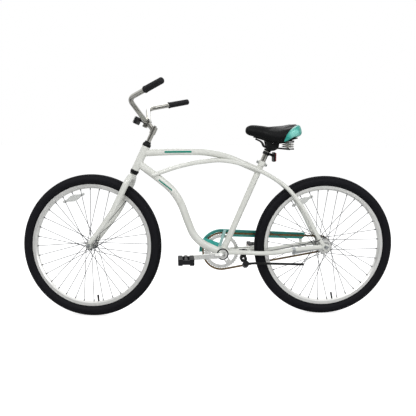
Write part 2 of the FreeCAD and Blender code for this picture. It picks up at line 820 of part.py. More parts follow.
def seat_post():
    low = V(0, 0, SEAT_TUBE_TOP - POST_INSERT)
    high = V(0, 0, POST_TOP)
    nodes["seat_post"] = [on_seat(sleeve(POST_OD / 2, POST_OD / 2 - POST_WALL, low, high))]

    inner = POST_OD / 2 + SEAT_CLEARANCE
    clamp_low = V(0, 0, REFLECTOR_CLAMP_AT - REFLECTOR_CLAMP_HEIGHT)
    clamp_high = V(0, 0, REFLECTOR_CLAMP_AT)
    band = on_seat(rod(inner + REFLECTOR_CLAMP_WALL, clamp_low, clamp_high))
    bore = on_seat(rod(inner, clamp_low, clamp_high))
    centre = seat_point(REFLECTOR_CLAMP_AT - REFLECTOR_CLAMP_HEIGHT / 2)
    back_x = centre.x + REAR_REFLECTOR_BEHIND
    housing = rounded_box(
        V(back_x, -REAR_REFLECTOR_WIDTH / 2, centre.z - REAR_REFLECTOR_DROP - REAR_REFLECTOR_HEIGHT / 2),
        V(
            back_x + REAR_REFLECTOR_DEPTH,
            REAR_REFLECTOR_WIDTH / 2,
            centre.z - REAR_REFLECTOR_DROP + REAR_REFLECTOR_HEIGHT / 2,
        ),
        10.0,
        V(1, 0, 0),
    )
    arm = swept(
        [centre, centre.add(V(22, 0, -6)), V(back_x + 2, 0, centre.z - REAR_REFLECTOR_DROP + 4)],
        6.0,
    )
    bracket = fused([band, housing, arm]).cut(bore)
    nodes["rear_reflector_bracket"] = [largest(bracket)]
    face_x = back_x + REAR_REFLECTOR_DEPTH
    inset = 2.0
    lens = rounded_box(
        V(face_x, -REAR_REFLECTOR_WIDTH / 2 + inset, housing.BoundBox.ZMin + inset),
        V(face_x + REAR_REFLECTOR_LENS, REAR_REFLECTOR_WIDTH / 2 - inset, housing.BoundBox.ZMax - inset),
        10.0 - inset,
        V(1, 0, 0),
    )
    nodes["rear_reflector"] = [lens]


def saddle_section(station, clamp):
    """Closed outline across the saddle: flat underside, bulging sides and a crowned top."""
    place, half, top, bottom = station
    x = clamp.x + place
    low = clamp.z + bottom
    high = clamp.z + top
    tuck = max(half - SADDLE_TUCK, 0.55 * half)
    shoulder_half = SADDLE_SHOULDER * half
    shoulder = high - 0.16 * (high - low) - 0.05 * half
    waist = low + 0.45 * (shoulder - low)
    right_low = V(x, tuck, low)
    left_low = V(x, -tuck, low)
    right_high = V(x, shoulder_half, shoulder)
    left_high = V(x, -shoulder_half, shoulder)
    edges = [
        Part.LineSegment(left_low, right_low).toShape(),
        Part.Arc(right_low, V(x, half, waist), right_high).toShape(),
        Part.Arc(right_high, V(x, 0, high), left_high).toShape(),
        Part.Arc(left_high, V(x, -half, waist), left_low).toShape(),
    ]
    return Part.Wire(edges)


def saddle():
    clamp = seat_point(POST_TOP + SADDLE_PIVOT_RISE)
    cushion = Part.makeLoft([saddle_section(s, clamp) for s in SADDLE_STATIONS], True, False)

    # The coloured panels are the rear corners of the cushion, behind a round seam
    seam_centre = clamp.add(V(PANEL_CENTRE[0], PANEL_SPREAD, PANEL_CENTRE[1]))
    reach = max(station[1] for station in SADDLE_STATIONS)
    right_rear = rod(PANEL_RADIUS, seam_centre, seam_centre.add(V(0, reach, 0)))
    panels = [largest(cushion.common(piece)) for piece in (right_rear, mirrored(right_rear))]
    cover = cushion.cut(right_rear).cut(mirrored(right_rear))
    nodes["saddle_cover"] = [largest(cover)]
    nodes["saddle_panels"] = panels

    # The base follows the cushion's underside at an even clearance
    plan = []
    for place, half, top, bottom in SADDLE_STATIONS[2:-2]:
        width = max(half - SADDLE_BASE_INSET - SADDLE_TUCK, 0.4 * half)
        plan.append(V(clamp.x + place, width, clamp.z))
    plan += [V(corner.x, -corner.y, corner.z) for corner in reversed(plan)]
    prism = Part.Face(Part.makePolygon(plan + plan[:1])).extrude(V(0, 0, SADDLE_STATIONS[-1][2]))
    under = cushion.translated(V(0, 0, -SOFT_CLEARANCE))
    base = under.translated(V(0, 0, -SADDLE_BASE_THICKNESS)).common(prism)
    base = min(base.cut(under).Solids, key=lambda solid: -solid.Volume)

    # Rails run from the nose, through the clamp, to the seats under the coil springs
    seat_z = clamp.z + SPRING_SEAT_HEIGHT
    nose_x = clamp.x + SADDLE_STATIONS[2][0] + 3 * RAIL_RADIUS
    plumb = Part.makeLine(V(nose_x, 0, clamp.z), V(nose_x, 0, cushion.BoundBox.ZMax))
    cushion_low = plumb.common(cushion).BoundBox.ZMin
    nose_z = cushion_low - SOFT_CLEARANCE - SADDLE_BASE_THICKNESS - RAIL_NOSE_GAP
    rails = []
    for side in SIDES:
        points = [
            V(nose_x, side * 9, nose_z - RAIL_RADIUS),
            V(nose_x + 30, side * 13, nose_z - 17),
            V(clamp.x - 22, side * RAIL_SPREAD, clamp.z + 3),
            V(clamp.x + 24, side * RAIL_SPREAD, clamp.z + 1),
            V(clamp.x + 60, side * 44, clamp.z - 2),
            V(clamp.x + SPRING_PLACE, side * SPRING_SPREAD, seat_z - RAIL_RADIUS),
        ]
        rail = swept(points, RAIL_RADIUS)
        cup_low = V(clamp.x + SPRING_PLACE, side * SPRING_SPREAD, seat_z - 4)
        cup = rod(SPRING_SEAT, cup_low, cup_low.add(V(0, 0, 4)))
        rails.append(largest(fused([rail, cup])))

    # The clamp on the post carries a barrel, and the saddle tilts on the bolt through that barrel
    barrel_half = V(0, RAIL_SPREAD - RAIL_RADIUS - 1.0, 0)
    barrel = rod(SADDLE_BARREL_RADIUS, clamp.sub(barrel_half), clamp.add(barrel_half))
    collar_low = V(0, 0, POST_TOP - SADDLE_CLAMP_HEIGHT)
    collar = on_seat(rod(SADDLE_CLAMP_RADIUS, collar_low, V(0, 0, POST_TOP + 2.0)))
    post_room = on_seat(rod(POST_OD / 2 + SEAT_CLEARANCE, collar_low, V(0, 0, POST_TOP)))
    bolt_hole = rod(SADDLE_BOLT_RADIUS + RUNNING_CLEARANCE, clamp.sub(barrel_half), clamp.add(barrel_half))
    nodes["saddle_clamp"] = [largest(fused([barrel, collar]).cut(post_room).cut(bolt_hole))]

    cheek_start = barrel_half.y + SOFT_CLEARANCE
    cheek_end = cheek_start + SADDLE_CHEEK_WIDTH
    bolt_end = V(0, cheek_end + 7.0, 0)
    bolt = rod(SADDLE_BOLT_RADIUS, clamp.sub(bolt_end), clamp.add(bolt_end))
    cheeks = []
    ceiling = under.translated(V(0, 0, -SADDLE_BASE_THICKNESS - SOFT_CLEARANCE))
    for side, rail in zip(SIDES, rails):
        high = clamp.add(V(0, side * cheek_end, 0))
        corners = [clamp.add(V(x, side * cheek_start, z)) for x, z in SADDLE_CHEEK_OUTLINE]
        outline = Part.Face(Part.makePolygon(corners + corners[:1]))
        cheek = outline.extrude(V(0, side * SADDLE_CHEEK_WIDTH, 0))
        cheeks.append(largest(cheek.cut([ceiling, rail, bolt])))
        cheeks.append(hexagon(13.0, high, V(0, side * 5.0, 0)).cut(bolt))
    nodes["saddle_rails"] = rails + cheeks + [bolt]

    springs = []
    tops = []
    for side in SIDES:
        axis = V(clamp.x + SPRING_PLACE, side * SPRING_SPREAD, 0)
        underside = clamp.z + spring_ceiling()
        bottom = seat_z + SPRING_END_GAP
        springs.append(coil_spring(axis, bottom, underside - SPRING_END_GAP, side))
        seat_top = V(axis.x, axis.y, underside + SPRING_SEAT_DROP + 0.5)
        tops.append(rod(SPRING_SEAT, V(axis.x, axis.y, underside), seat_top).cut(under))
    nodes["saddle_springs"] = springs
    base = fused([base] + tops)
    nodes["saddle_base"] = [largest(base)]


def spring_ceiling():
    """Height above the clamp of the base's underside over the springs."""
    for before, after in zip(SADDLE_STATIONS, SADDLE_STATIONS[1:]):
        if before[0] <= SPRING_PLACE <= after[0]:
            share = (SPRING_PLACE - before[0]) / (after[0] - before[0])
            level = before[3] + share * (after[3] - before[3])
    return level - SOFT_CLEARANCE - SADDLE_BASE_THICKNESS - SPRING_SEAT_DROP


def coil_spring(axis, low, high, hand):
    """One unbroken helical wire, made of quarter-turn arcs."""
    centre = SPRING_RADIUS
    first = low + SPRING_WIRE
    climb = high - low - 2 * SPRING_WIRE
    steps = 4 * SPRING_TURNS
    edges = []

    def place(share):
        angle = hand * 2 * math.pi * SPRING_TURNS * share
        return V(axis.x + centre * math.cos(angle), axis.y + centre * math.sin(angle), first + climb * share)

    for step in range(steps):
        marks = [place((step + part) / steps) for part in (0.0, 0.5, 1.0)]
        edges.append(Part.Arc(*marks).toShape())
    path = Part.Wire(edges)
    ahead = edges[0].tangentAt(edges[0].FirstParameter)
    section = Part.Wire(Part.Circle(place(0.0), ahead, SPRING_WIRE).toShape())
    gap = climb / SPRING_TURNS - 2 * SPRING_WIRE
    print("least gap between turns of a saddle spring: %.2f mm" % gap)
    return path.makePipeShell([section], True, False)


# Steering

def fork(race_low, cone_top):
    crown = race_low
    steerer = sleeve(STEERER_OD / 2, QUILL_OD / 2 + SEAT_CLEARANCE, V(0, 0, crown), V(0, 0, cone_top))
    base = rod(STEERER_OD / 2 + 3.0, V(0, 0, crown - 22), V(0, 0, crown))
    crown_lug = fused([steerer, base])
    blades = []
    tips = []
    shoulder = crown - CROWN_DROP
    tip_place = FRONT_SPACING / 2 + DROPOUT_THICKNESS / 2
    for side in SIDES:
        points = [
            V(0, 0, crown - BLADE_OD / 2 - 0.6),
            V(0, side * 0.62 * BLADE_SPREAD, crown - BLADE_OD / 2 - 1.2),
            V(0, side * BLADE_SPREAD, shoulder),
            V(0, side * BLADE_SPREAD, BLADE_CURVE_START),
            V(-1.5, side * BLADE_SPREAD, BLADE_CURVE_MIDDLE),
            V(-BLADE_CURVE_AHEAD, side * tip_place, BLADE_CURVE_LOW),
            V(-FORK_RAKE - 1.0, side * tip_place, FORK_TIP_RADIUS),
        ]
        outer = tapered(points, BLADE_OD / 2, BLADE_TIP_OD / 2)
        blade = outer.cut(tapered(points, BLADE_OD / 2 - BLADE_WALL, BLADE_TIP_OD / 2 - BLADE_WALL))
        blades.append(blade)
        low = side * FRONT_SPACING / 2
        run = V(0, side * DROPOUT_THICKNESS, 0)
        eye = Part.makeCylinder(FORK_TIP_RADIUS, DROPOUT_THICKNESS, V(-FORK_RAKE, low, 0), run)
        tongue = boxed(
            V(-FORK_RAKE - 8, min(low, low + run.y), 0),
            V(-FORK_RAKE + 8, max(low, low + run.y), 42),
        )
        hole = FRONT_AXLE_RADIUS + RUNNING_CLEARANCE
        slot = boxed(
            V(-FORK_RAKE - hole, min(low, low + run.y), -30),
            V(-FORK_RAKE + hole, max(low, low + run.y), 0),
        )
        bore = Part.makeCylinder(hole, DROPOUT_THICKNESS, V(-FORK_RAKE, low, 0), run)
        tips.append(fused([eye, tongue]).cut(bore).cut(slot))
    left, right = blades
    side_room = boxed(V(-100, -200, -100), V(100, 0, crown + 50))
    left = largest(left.common(side_room).cut(crown_lug).cut(tips[0]))
    right = largest(right.common(mirrored(side_room)).cut(crown_lug).cut(tips[1]))
    nodes["fork_blades"] = [on_steering(left), on_steering(right)]
    nodes["fork_dropouts"] = [on_steering(tip) for tip in tips]
    nodes["fork_steerer"] = [on_steering(crown_lug)]


def tapered(points, start_radius, end_radius):
    """Round bar along a path: even over its first part, then tapering to its end."""
    path = tangent_path(points)
    marks = path.discretize(Number=BLADE_SECTIONS)
    sections = []
    for index, mark in enumerate(marks):
        before = marks[max(index - 1, 0)]
        after = marks[min(index + 1, len(marks) - 1)]
        ahead = points[1].sub(points[0]) if index == 0 else after.sub(before)
        share = max(0.0, index / (len(marks) - 1) - BLADE_EVEN_SHARE) / (1.0 - BLADE_EVEN_SHARE)
        radius = start_radius + (end_radius - start_radius) * share
        sections.append(Part.Wire(Part.Circle(mark, ahead, radius).toShape()))
    return Part.makeLoft(sections, True, False)


def bar_points():
    """Centre line of the handlebar, from the left end to the right."""
    centre = V(-BAR_FORWARD, 0, BAR_HEIGHT)
    right = [
        centre.add(V(0, BAR_CENTRE_RUN, 0)),
        V(*BAR_BEND),
        V(*BAR_END),
    ]
    left = [V(p.x, -p.y, p.z) for p in reversed(right)]
    return left + right


def stem(cone_top):
    quill = rod(QUILL_OD / 2, V(0, 0, cone_top - QUILL_INSERT), V(0, 0, STEM_TOP - 2))
    head = rod(STEM_HEAD_RADIUS, V(0, 0, STEM_TOP - STEM_HEAD_HEIGHT), V(0, 0, STEM_TOP))
    half = V(0, BAR_CLAMP_WIDTH / 2, 0)
    centre = V(-BAR_FORWARD, 0, BAR_HEIGHT)
    clamp = rod(BAR_CLAMP_RADIUS, centre.sub(half), centre.add(half))
    neck_start = V(0, 0, STEM_TOP - STEM_HEAD_HEIGHT / 2)
    neck = rod(0.8 * STEM_HEAD_RADIUS, neck_start, centre)
    ear_x = -BAR_FORWARD - 6.0
    ears = boxed(
        V(ear_x, -BAR_CLAMP_WIDTH / 4, BAR_HEIGHT - BAR_CLAMP_RADIUS - 13),
        V(ear_x + 14, BAR_CLAMP_WIDTH / 4, BAR_HEIGHT),
    )
    slit = boxed(
        V(ear_x + 5.5, -BAR_CLAMP_WIDTH, BAR_HEIGHT - BAR_CLAMP_RADIUS - 20),
        V(ear_x + 8.0, BAR_CLAMP_WIDTH, BAR_HEIGHT),
    )
    bore = rod(BAR_OD / 2 + RUNNING_CLEARANCE, centre.sub(half), centre.add(half))
    bolt_z = BAR_HEIGHT - BAR_CLAMP_RADIUS - 6
    bolt_run = V(1, 0, 0)
    bolt_hole = Part.makeCylinder(3.1, 40, V(ear_x - 10, 0, bolt_z), bolt_run)
    well = rod(4.2, V(0, 0, cone_top - QUILL_INSERT), V(0, 0, STEM_TOP))
    body = fused([quill, head, clamp, neck, ears]).cut(bore).cut(slit).cut(bolt_hole).cut(well)
    wedge_top = cone_top - QUILL_INSERT - 0.5
    wedge = rod(QUILL_OD / 2, V(0, 0, wedge_top - 24), V(0, 0, wedge_top)).cut(
        rod(4.2, V(0, 0, wedge_top - 24), V(0, 0, wedge_top))
    )
    expander = fused(
        [
            rod(4.0, V(0, 0, wedge_top - 26), V(0, 0, STEM_TOP + 1)),
            rod(7.5, V(0, 0, STEM_TOP), V(0, 0, STEM_TOP + 6)),
        ]
    )
    clamp_bolt = fused(
        [
            Part.makeCylinder(3.0, 22, V(ear_x - 4, 0, bolt_z), bolt_run),
            Part.makeCylinder(5.0, 4, V(ear_x - 4, 0, bolt_z), bolt_run),
        ]
    )
    clamp_nut = hexagon(10.0, V(ear_x + 14, 0, bolt_z), V(5, 0, 0)).cut(clamp_bolt)
    pieces = [largest(body), wedge, expander, clamp_bolt, clamp_nut]
    nodes["stem"] = [on_steering(piece) for piece in pieces]


def handlebar():
    points = bar_points()
    bar = swept_tube(points, BAR_OD, BAR_WALL, BAR_BEND_RADIUS)
    nodes["handlebar"] = [on_steering(bar)]
    grips = []
    for bend, end in ((points[1], points[0]), (points[-2], points[-1])):
        outward = end.sub(bend).normalize()
        grips.append(on_steering(grip(end, outward)))
    nodes["handlebar_grips"] = grips


def grip(end, outward):
    """Ribbed sleeve with a closed end."""
    inner = BAR_OD / 2 + SEAT_CLEARANCE
    ring = GRIP_LENGTH / (2 * GRIP_RIBS + 3)
    profile = [(0.0, GRIP_END), (0.0, 0.0), (inner, 0.0), (inner, -GRIP_LENGTH)]
    profile += [(GRIP_RADIUS + 2.5, -GRIP_LENGTH), (GRIP_RADIUS + 2.5, -GRIP_LENGTH + ring)]
    for step in range(GRIP_RIBS):
        place = -GRIP_LENGTH + ring * (2 * step + 1)
        low = GRIP_RADIUS - GRIP_GROOVE
        profile += [(low, place + 0.2 * ring), (low, place + 0.8 * ring)]
        profile += [(GRIP_RADIUS, place + ring), (GRIP_RADIUS, place + 1.9 * ring)]
    profile += [(GRIP_RADIUS, GRIP_END - 3.0), (GRIP_RADIUS - 3.0, GRIP_END)]
    sleeve_solid = turned(profile, UP)
    turn = FreeCAD.Rotation(UP, outward)
    sleeve_solid.Placement = FreeCAD.Placement(end, turn)
    return sleeve_solid


def front_reflector():
    depth, width, height = FRONT_REFLECTOR_SIZE
    centre_z = BAR_HEIGHT - FRONT_REFLECTOR_DROP
    back = -BAR_FORWARD - FRONT_REFLECTOR_AHEAD + depth / 2
    low = V(back - depth, -width / 2, centre_z - height / 2)
    high = V(back, width / 2, centre_z + height / 2)
    housing = rounded_box(low, high, 9.0, V(1, 0, 0))
    place = FRONT_BRACKET_PLACE
    ring_low = V(-BAR_FORWARD, place - FRONT_BRACKET_WIDTH / 2, BAR_HEIGHT)
    ring_high = V(-BAR_FORWARD, place + FRONT_BRACKET_WIDTH / 2, BAR_HEIGHT)
    inner = BAR_OD / 2 + SEAT_CLEARANCE
    band = rod(inner + FRONT_BRACKET_WALL, ring_low, ring_high)
    arm_z = centre_z + 6.0
    arm = boxed(
        V(back - 1.0, place - FRONT_BRACKET_WIDTH / 2, arm_z - 4.0),
        V(-BAR_FORWARD, place + FRONT_BRACKET_WIDTH / 2, arm_z + 4.0),
    )
    bore = swept(bar_points(), inner, BAR_BEND_RADIUS)
    bracket = largest(fused([band, arm, housing]).cut(bore))
    nodes["front_reflector_bracket"] = [on_steering(bracket)]
    inset = 2.0
    lens = rounded_box(
        V(low.x - FRONT_REFLECTOR_LENS, low.y + inset, low.z + inset),
        V(low.x, high.y - inset, high.z - inset),
        9.0 - inset,
        V(1, 0, 0),
    )
    nodes["front_reflector"] = [on_steering(lens)]


# Wheels, modelled about the Y axis with the valve on the +X side

def tyre():
    half = TYRE_WIDTH / 2
    seat = RIM_RADIUS - BEAD_DEPTH
    lip = RIM_RADIUS + 1.2
    bead = RIM_WIDTH / 2 - RIM_WALL - 0.5
    waist = (lip + WHEEL_RADIUS) / 2
    shoulder = WHEEL_RADIUS - 9.0
    tread_half = 0.74 * half
    inner_bead = bead - TYRE_WALL + 0.5

    def arc(first, through, last):
        return Part.Arc(V(*first, 0), V(*through, 0), V(*last, 0)).toShape()

    def line(first, last):
        return Part.LineSegment(V(*first, 0), V(*last, 0)).toShape()

    wall = TYRE_WALL
    edges = [
        line((seat, -bead), (lip, -bead)),
        arc((lip, -bead), (waist, -half), (shoulder, -tread_half)),
        arc((shoulder, -tread_half), (WHEEL_RADIUS, 0), (shoulder, tread_half)),
        arc((shoulder, tread_half), (waist, half), (lip, bead)),
        line((lip, bead), (seat, bead)),
        line((seat, bead), (seat, inner_bead)),
        line((seat, inner_bead), (lip, inner_bead)),
        arc((lip, inner_bead), (waist, half - wall), (shoulder - wall, tread_half - wall)),
        arc(
            (shoulder - wall, tread_half - wall),
            (WHEEL_RADIUS - wall, 0),
            (shoulder - wall, wall - tread_half),
        ),
        arc((shoulder - wall, wall - tread_half), (waist, wall - half), (lip, -inner_bead)),
        line((lip, -inner_bead), (seat, -inner_bead)),
        line((seat, -inner_bead), (seat, -bead)),
    ]
    return Part.Face(Part.Wire(edges)).revolve(ORIGIN, ACROSS, 360)


def rim_profile():
    half = RIM_WIDTH / 2
    low = RIM_RADIUS - RIM_DEPTH
    bed = low + RIM_BED
    return (
        (RIM_RADIUS, half),
        (RIM_RADIUS, half - RIM_WALL),
        (bed + 4.0, half - RIM_WALL - 0.2),
        (bed, half - RIM_WALL - 4.0),
        (bed, -half + RIM_WALL + 4.0),
        (bed + 4.0, -half + RIM_WALL + 0.2),
        (RIM_RADIUS, -half + RIM_WALL),
        (RIM_RADIUS, -half),
        (low + 6.0, -half + 0.5),
        (low, -half + 6.5),
        (low, half - 6.5),
        (low + 6.0, half - 0.5),
    )


def spoke_line(flange_radius, flange_place, outside, turn):
    """Start and end of one spoke: from the flange's hole circle to the rim, turned round the hub."""
    side = 1 if flange_place > 0 else -1
    hole_circle = flange_radius - FLANGE_EDGE
    offset = SPOKE_OFFSET if outside else -SPOKE_OFFSET
    start = V(hole_circle, flange_place + side * offset, 0)
    end = point_on_arc(RIM_RADIUS - RIM_DEPTH + RIM_BED + 2.0, turn, side * SPOKE_STAGGER)
    return start, end


def spoke(start, end, flange_place):
    """Wire with its bent head in the flange and its nipple in the rim."""
    run = end.sub(start).normalize()
    through = 1 if flange_place > start.y else -1
    head_place = flange_place + through * (FLANGE_THICKNESS / 2 + 0.2)
    head = V(start.x, head_place, start.z)
    pieces = [
        rod(SPOKE_RADIUS, start, end),
        Part.makeSphere(SPOKE_RADIUS, start),
        rod(SPOKE_RADIUS, start, head),
        rod(1.8 * SPOKE_RADIUS, head, head.add(V(0, through * 1.0, 0))),
        rod(NIPPLE_RADIUS, end.sub(V(run).multiply(NIPPLE_LENGTH)), end),
    ]
    return fused(pieces)


def wheel(name, flange_radius, flange_left, flange_right, hub_solid, angle, place):
    """All pieces of one wheel, turned so that its valve points at the given angle, on its axle's place."""
    step = 360.0 / (SPOKES / 4)
    spokes = []
    lines = []
    for flange, phase in ((flange_left, 0.0), (flange_right, 360.0 / SPOKES)):
        for outside, turn, lead in ((True, SPOKE_CROSS, 0.0), (False, -SPOKE_CROSS, 180.0 / (SPOKES / 4))):
            start, end = spoke_line(flange_radius, flange, outside, turn)
            pattern = spoke(start, end, flange)
            for number in range(SPOKES // 4):
                at = phase + lead + number * step + 180.0 / SPOKES
                spokes.append(pattern.rotated(ORIGIN, ACROSS, -at))
                spin = FreeCAD.Rotation(ACROSS, -at)
                lines.append((spin.multVec(start), spin.multVec(end)))
    holes = []
    reflector_rods = []
    flange_holes = []
    for start, end in lines:
        run = end.sub(start).normalize()
        nipple_start = end.sub(V(run).multiply(NIPPLE_LENGTH))
        holes.append(rod(NIPPLE_RADIUS + SPOKE_HOLE_CLEARANCE, nipple_start, end.add(run)))
        reflector_rods.append(rod(SPOKE_RADIUS + SPOKE_HOLE_CLEARANCE, start, end))
        flange_start = V(start.x, 1.2 * start.y, start.z)
        flange_end = V(start.x, 0.7 * start.y, start.z)
        flange_holes.append(rod(SPOKE_RADIUS + SPOKE_HOLE_CLEARANCE, flange_start, flange_end))

    bed = RIM_RADIUS - RIM_DEPTH
    valve_room = rod(VALVE_RADIUS + SPOKE_HOLE_CLEARANCE, V(bed - 5, 0, 0), V(RIM_RADIUS + 10, 0, 0))
    rim = turned(rim_profile(), ACROSS).cut(holes + [valve_room])
    hub = hub_solid.cut(flange_holes)

    tube_centre = (RIM_RADIUS + WHEEL_RADIUS) / 2 - 5.0
    tube = Part.makeTorus(tube_centre, TUBE_SECTION, ORIGIN, ACROSS)
    tube_air = Part.makeTorus(tube_centre, TUBE_SECTION - 1.2, ORIGIN, ACROSS)
    cap_end = V(bed - VALVE_LENGTH + VALVE_CAP_LENGTH, 0, 0)
    valve = rod(VALVE_RADIUS, cap_end, V(tube_centre - TUBE_SECTION + 1.0, 0, 0))
    tube = fused([tube.cut(tube_air), valve])
    cap = rod(VALVE_CAP_RADIUS, V(bed - VALVE_LENGTH, 0, 0), cap_end)

    # Pointed oval lens, where two round discs overlap, on a bar that clips to the spokes
    half_length = WHEEL_REFLECTOR_LENGTH / 2
    half_band = WHEEL_REFLECTOR_BAND / 2
    deep = V(0, WHEEL_REFLECTOR_THICKNESS / 2, 0)
    bow = (half_length ** 2 + half_band ** 2) / WHEEL_REFLECTOR_BAND
    discs = []
    for side in SIDES:
        middle = V(WHEEL_REFLECTOR_RADIUS + side * (bow - half_band), 0, 0)
        discs.append(rod(bow, middle.sub(deep), middle.add(deep)))
    tab = V(*WHEEL_REFLECTOR_TAB).multiply(0.5)
    middle = V(WHEEL_REFLECTOR_RADIUS, 0, 0)
    reflector = fused([discs[0].common(discs[1]), boxed(middle.sub(tab), middle.add(tab))])
    reflector = reflector.rotated(ORIGIN, ACROSS, -WHEEL_REFLECTOR_ANGLE)
    reflector = largest(reflector.cut(reflector_rods))

    pieces = {
        "tyre": [tyre()],
        "rim": [largest(rim)],
        "spokes": spokes,
        "hub": [largest(hub)],
        "inner_tube": [tube, cap],
        "wheel_reflector": [reflector],
    }
    for piece, solids in pieces.items():
        nodes[name + "_" + piece] = [place(solid.rotated(ORIGIN, ACROSS, -angle)) for solid in solids]


def flange_ring(radius, place, barrel):
    half = FLANGE_THICKNESS / 2
    return sleeve(radius, barrel, V(0, place - half, 0), V(0, place + half, 0))


def front_wheel():
    """Front hub, axle and wheel, on the fork's axle line."""
    end = FRONT_FLANGE_PLACE + HUB_END
    race = FRONT_CONE_RADIUS + 2 * HUB_BALL_RADIUS + 2 * BALL_PLAY
    floor = end - 2 * HUB_BALL_RADIUS - 2.5
    bore = FRONT_AXLE_RADIUS + 1.5
    hub = turned(
        (
            (bore, -floor),
            (race, -floor),
            (race, -end),
            (FRONT_BARREL_RADIUS + 1.5, -end),
            (FRONT_BARREL_RADIUS, -FRONT_FLANGE_PLACE + 6),
            (FRONT_BARREL_RADIUS - 1.5, 0),
            (FRONT_BARREL_RADIUS, FRONT_FLANGE_PLACE - 6),
            (FRONT_BARREL_RADIUS + 1.5, end),
            (race, end),
            (race, floor),
            (bore, floor),
        ),
        ACROSS,
    )
    inside = FRONT_BARREL_RADIUS - 1.0
    flanges = [flange_ring(FRONT_FLANGE_RADIUS, side * FRONT_FLANGE_PLACE, inside) for side in SIDES]
    hub = fused([hub] + flanges)
    foot = V(-FORK_RAKE, 0, 0)

    def place(solid):
        return on_steering(solid.translated(foot))

    angle = FRONT_VALVE_ANGLE + HEAD_TILT
    wheel("front", FRONT_FLANGE_RADIUS, -FRONT_FLANGE_PLACE, FRONT_FLANGE_PLACE, hub, angle, place)

    nuts = []
    inner_face = FRONT_SPACING / 2
    outer_face = inner_face + DROPOUT_THICKNESS
    pieces = [stub_axle(FRONT_AXLE_RADIUS, FRONT_STUB_RADIUS, FRONT_AXLE_END, outer_face)]
    ball_place = floor + BALL_PLAY + HUB_BALL_RADIUS
    for side in SIDES:
        cone = turned_cone(FRONT_AXLE_RADIUS, FRONT_CONE_RADIUS, inside, floor, end, inner_face, side)
        pieces.append(cone)
        circle = FRONT_CONE_RADIUS + BALL_PLAY + HUB_BALL_RADIUS
        pieces += ball_row(FRONT_HUB_BALLS, circle, HUB_BALL_RADIUS, ACROSS, side * ball_place)
        nuts += axle_nut(FRONT_AXLE_RADIUS, outer_face, side)
    nodes["front_axle"] = [place(piece) for piece in pieces]
    nodes["front_axle_nuts"] = [place(piece) for piece in nuts]


def turned_cone(axle, cone, cover, floor, end, face, side):
    """Bearing cone with its dust cover and lock nut, threaded on the axle up to the dropout's inner face."""
    inner = axle + SEAT_CLEARANCE
    profile = (
        (inner, side * (floor + 0.4)),
        (cone, side * (floor + 0.4)),
        (cone, side * (end + 0.6)),
        (cover, side * (end + 0.6)),
        (cover, side * (end + 2.4)),
        (cone + 1.5, side * (end + 2.4)),
        (cone + 1.5, side * face),
        (inner, side * face),
    )
    return turned(profile, ACROSS)


def stub_axle(radius, stub, end, face):
    """Axle with a thinner free end outside each nut."""
    shoulder = face + WASHER_THICKNESS + NUT_HEIGHT + STUB_SHOULDER
    return fused([rod(radius, V(0, -shoulder, 0), V(0, shoulder, 0)), rod(stub, V(0, -end, 0), V(0, end, 0))])


def axle_nut(axle, face, side):
    """Washer and domed nut outside a dropout."""
    start = V(0, side * face, 0)
    washer = sleeve(WASHER_RADIUS, axle + SEAT_CLEARANCE, start, start.add(V(0, side * WASHER_THICKNESS, 0)))
    nut_start = start.add(V(0, side * WASHER_THICKNESS, 0))
    nut = hexagon(NUT_ACROSS_FLATS, nut_start, V(0, side * NUT_HEIGHT, 0))
    nut = nut.cut(rod(axle + SEAT_CLEARANCE, nut_start, nut_start.add(V(0, side * NUT_HEIGHT, 0))))
    return [washer, nut]


